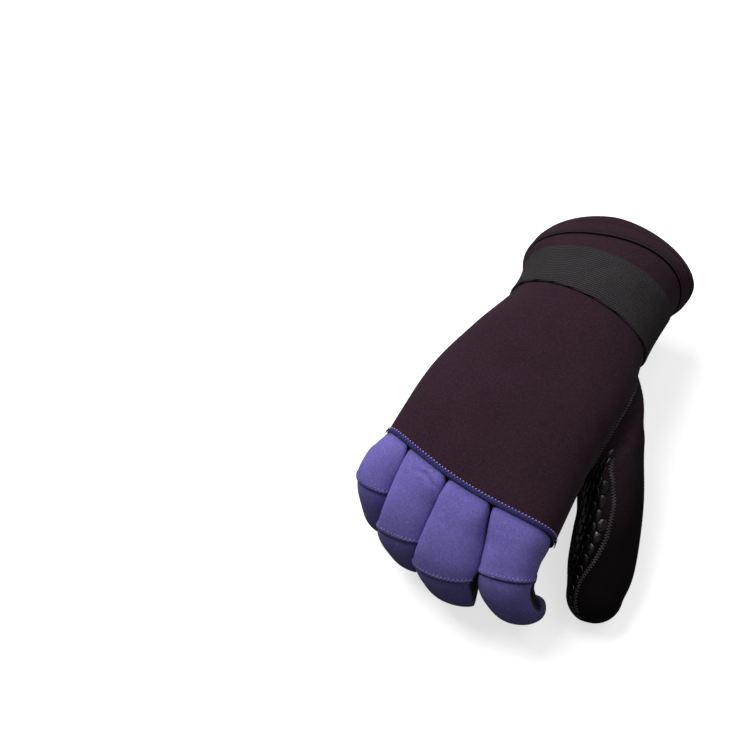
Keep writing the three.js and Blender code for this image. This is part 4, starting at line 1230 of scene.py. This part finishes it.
gusset_place, gusset_angle = thumb_seam(np.linspace(6, 122, 400))
gusset_line = seam_line(hand, gusset_angle, gusset_place)
# The gusset's stitches lean up, because the cloth beside the seam stands over it
gusset_line["n"] = unit(gusset_line["n"] + [0, 0, 1])
gusset_line["b"] = unit(np.cross(gusset_line["n"], gusset_line["t"]))
thumb_far = np.linspace(0.75, 4.6, 300)
inner_line = seam_line(thumb, thumb_inner(thumb_far), thumb_far)
make_piece("thumb_binding", welt(inner_line, 1.3, 0.55, 0.3, waves=0.15),
           [], thumb_jersey)
make_piece("thumb_stitches", together([
    zigzag(gusset_line, 1.7, 2.2, 0.24, 1.0),
    zigzag(inner_line, 1.6, 2.6, 0.2, 0.55),
]), [], grey_thread)

round_cuff = np.linspace(0, 360, 800)
hem_line = seam_line(hand, round_cuff, HEM_SEAM - 0.045)
make_piece("hem_fold_edge", welt(hem_line, 0.4, 0.5, 0.4), [], edge_jersey)
# Painted shade: a thin near-black band laid in the hem's seam groove
hem_groove = seam_line(hand, round_cuff, HEM_SEAM + 0.035)
make_piece("hem_groove_shade", welt(hem_groove, 0.7, 0.15, 0.3), [], groove_shade)
cuff_seams = [seam_line(hand, ULNAR_SEAM, np.linspace(1.02, 5.98, 400)),
              seam_line(hand, THUMB_SIDE, np.linspace(1.02, THUMB_FROM, 400)),
              seam_line(hand, THUMB_SIDE, np.linspace(THUMB_TO, 5.98, 200))]
make_piece("side_stitches", together([zigzag(line, 2.0, 2.8, 0.2, 0.15) for line in cuff_seams]),
           [], black_thread)

# Floor, light and camera
bpy.ops.mesh.primitive_plane_add(size=6)
floor = bpy.context.active_object
floor.name = "studio_floor"
floor.data.materials.append(pale_floor())

world = bpy.data.worlds.new("studio")
bpy.context.scene.world = world
world.use_nodes = True
world.node_tree.nodes["Background"].inputs["Color"].default_value = (1, 1, 1, 1)
world.node_tree.nodes["Background"].inputs["Strength"].default_value = 0.17

def looking_back(azimuth, elevation, distance):
    """A place in a direction in degrees, and the turn that looks from it along that direction."""
    a, e = np.radians([azimuth, elevation])
    out = np.array([np.sin(a) * np.cos(e), -np.cos(a) * np.cos(e), np.sin(e)])
    return distance * out, (np.pi / 2 - e, 0, a)


def soft_light(name, azimuth, elevation, distance, size, power):
    """A square area light that looks at the glove from a direction in degrees."""
    data = bpy.data.lights.new(name, "AREA")
    data.size, data.energy = size, power
    light = bpy.data.objects.new(name, data)
    bpy.context.scene.collection.objects.link(light)
    light.location, light.rotation_euler = looking_back(azimuth, elevation, distance)


soft_light("key_light", -105, 54, 1.1, 0.7, 11.5)
soft_light("side_light", 140, 60, 1.6, 1.0, 3.5)

TARGET = np.array([-0.09185, -0.03325, 0.0553])   # what the camera looks at, beside the glove
camera_data = bpy.data.cameras.new("camera")
camera_data.lens, camera_data.sensor_width = 85, 36
camera_data.clip_start, camera_data.clip_end = 0.05, 20
camera = bpy.data.objects.new("camera", camera_data)
bpy.context.scene.collection.objects.link(camera)
place, camera.rotation_euler = looking_back(29.0, 61.0, 0.94)
camera.location = TARGET + place
bpy.context.scene.camera = camera
bpy.context.scene.view_settings.view_transform = "Standard"
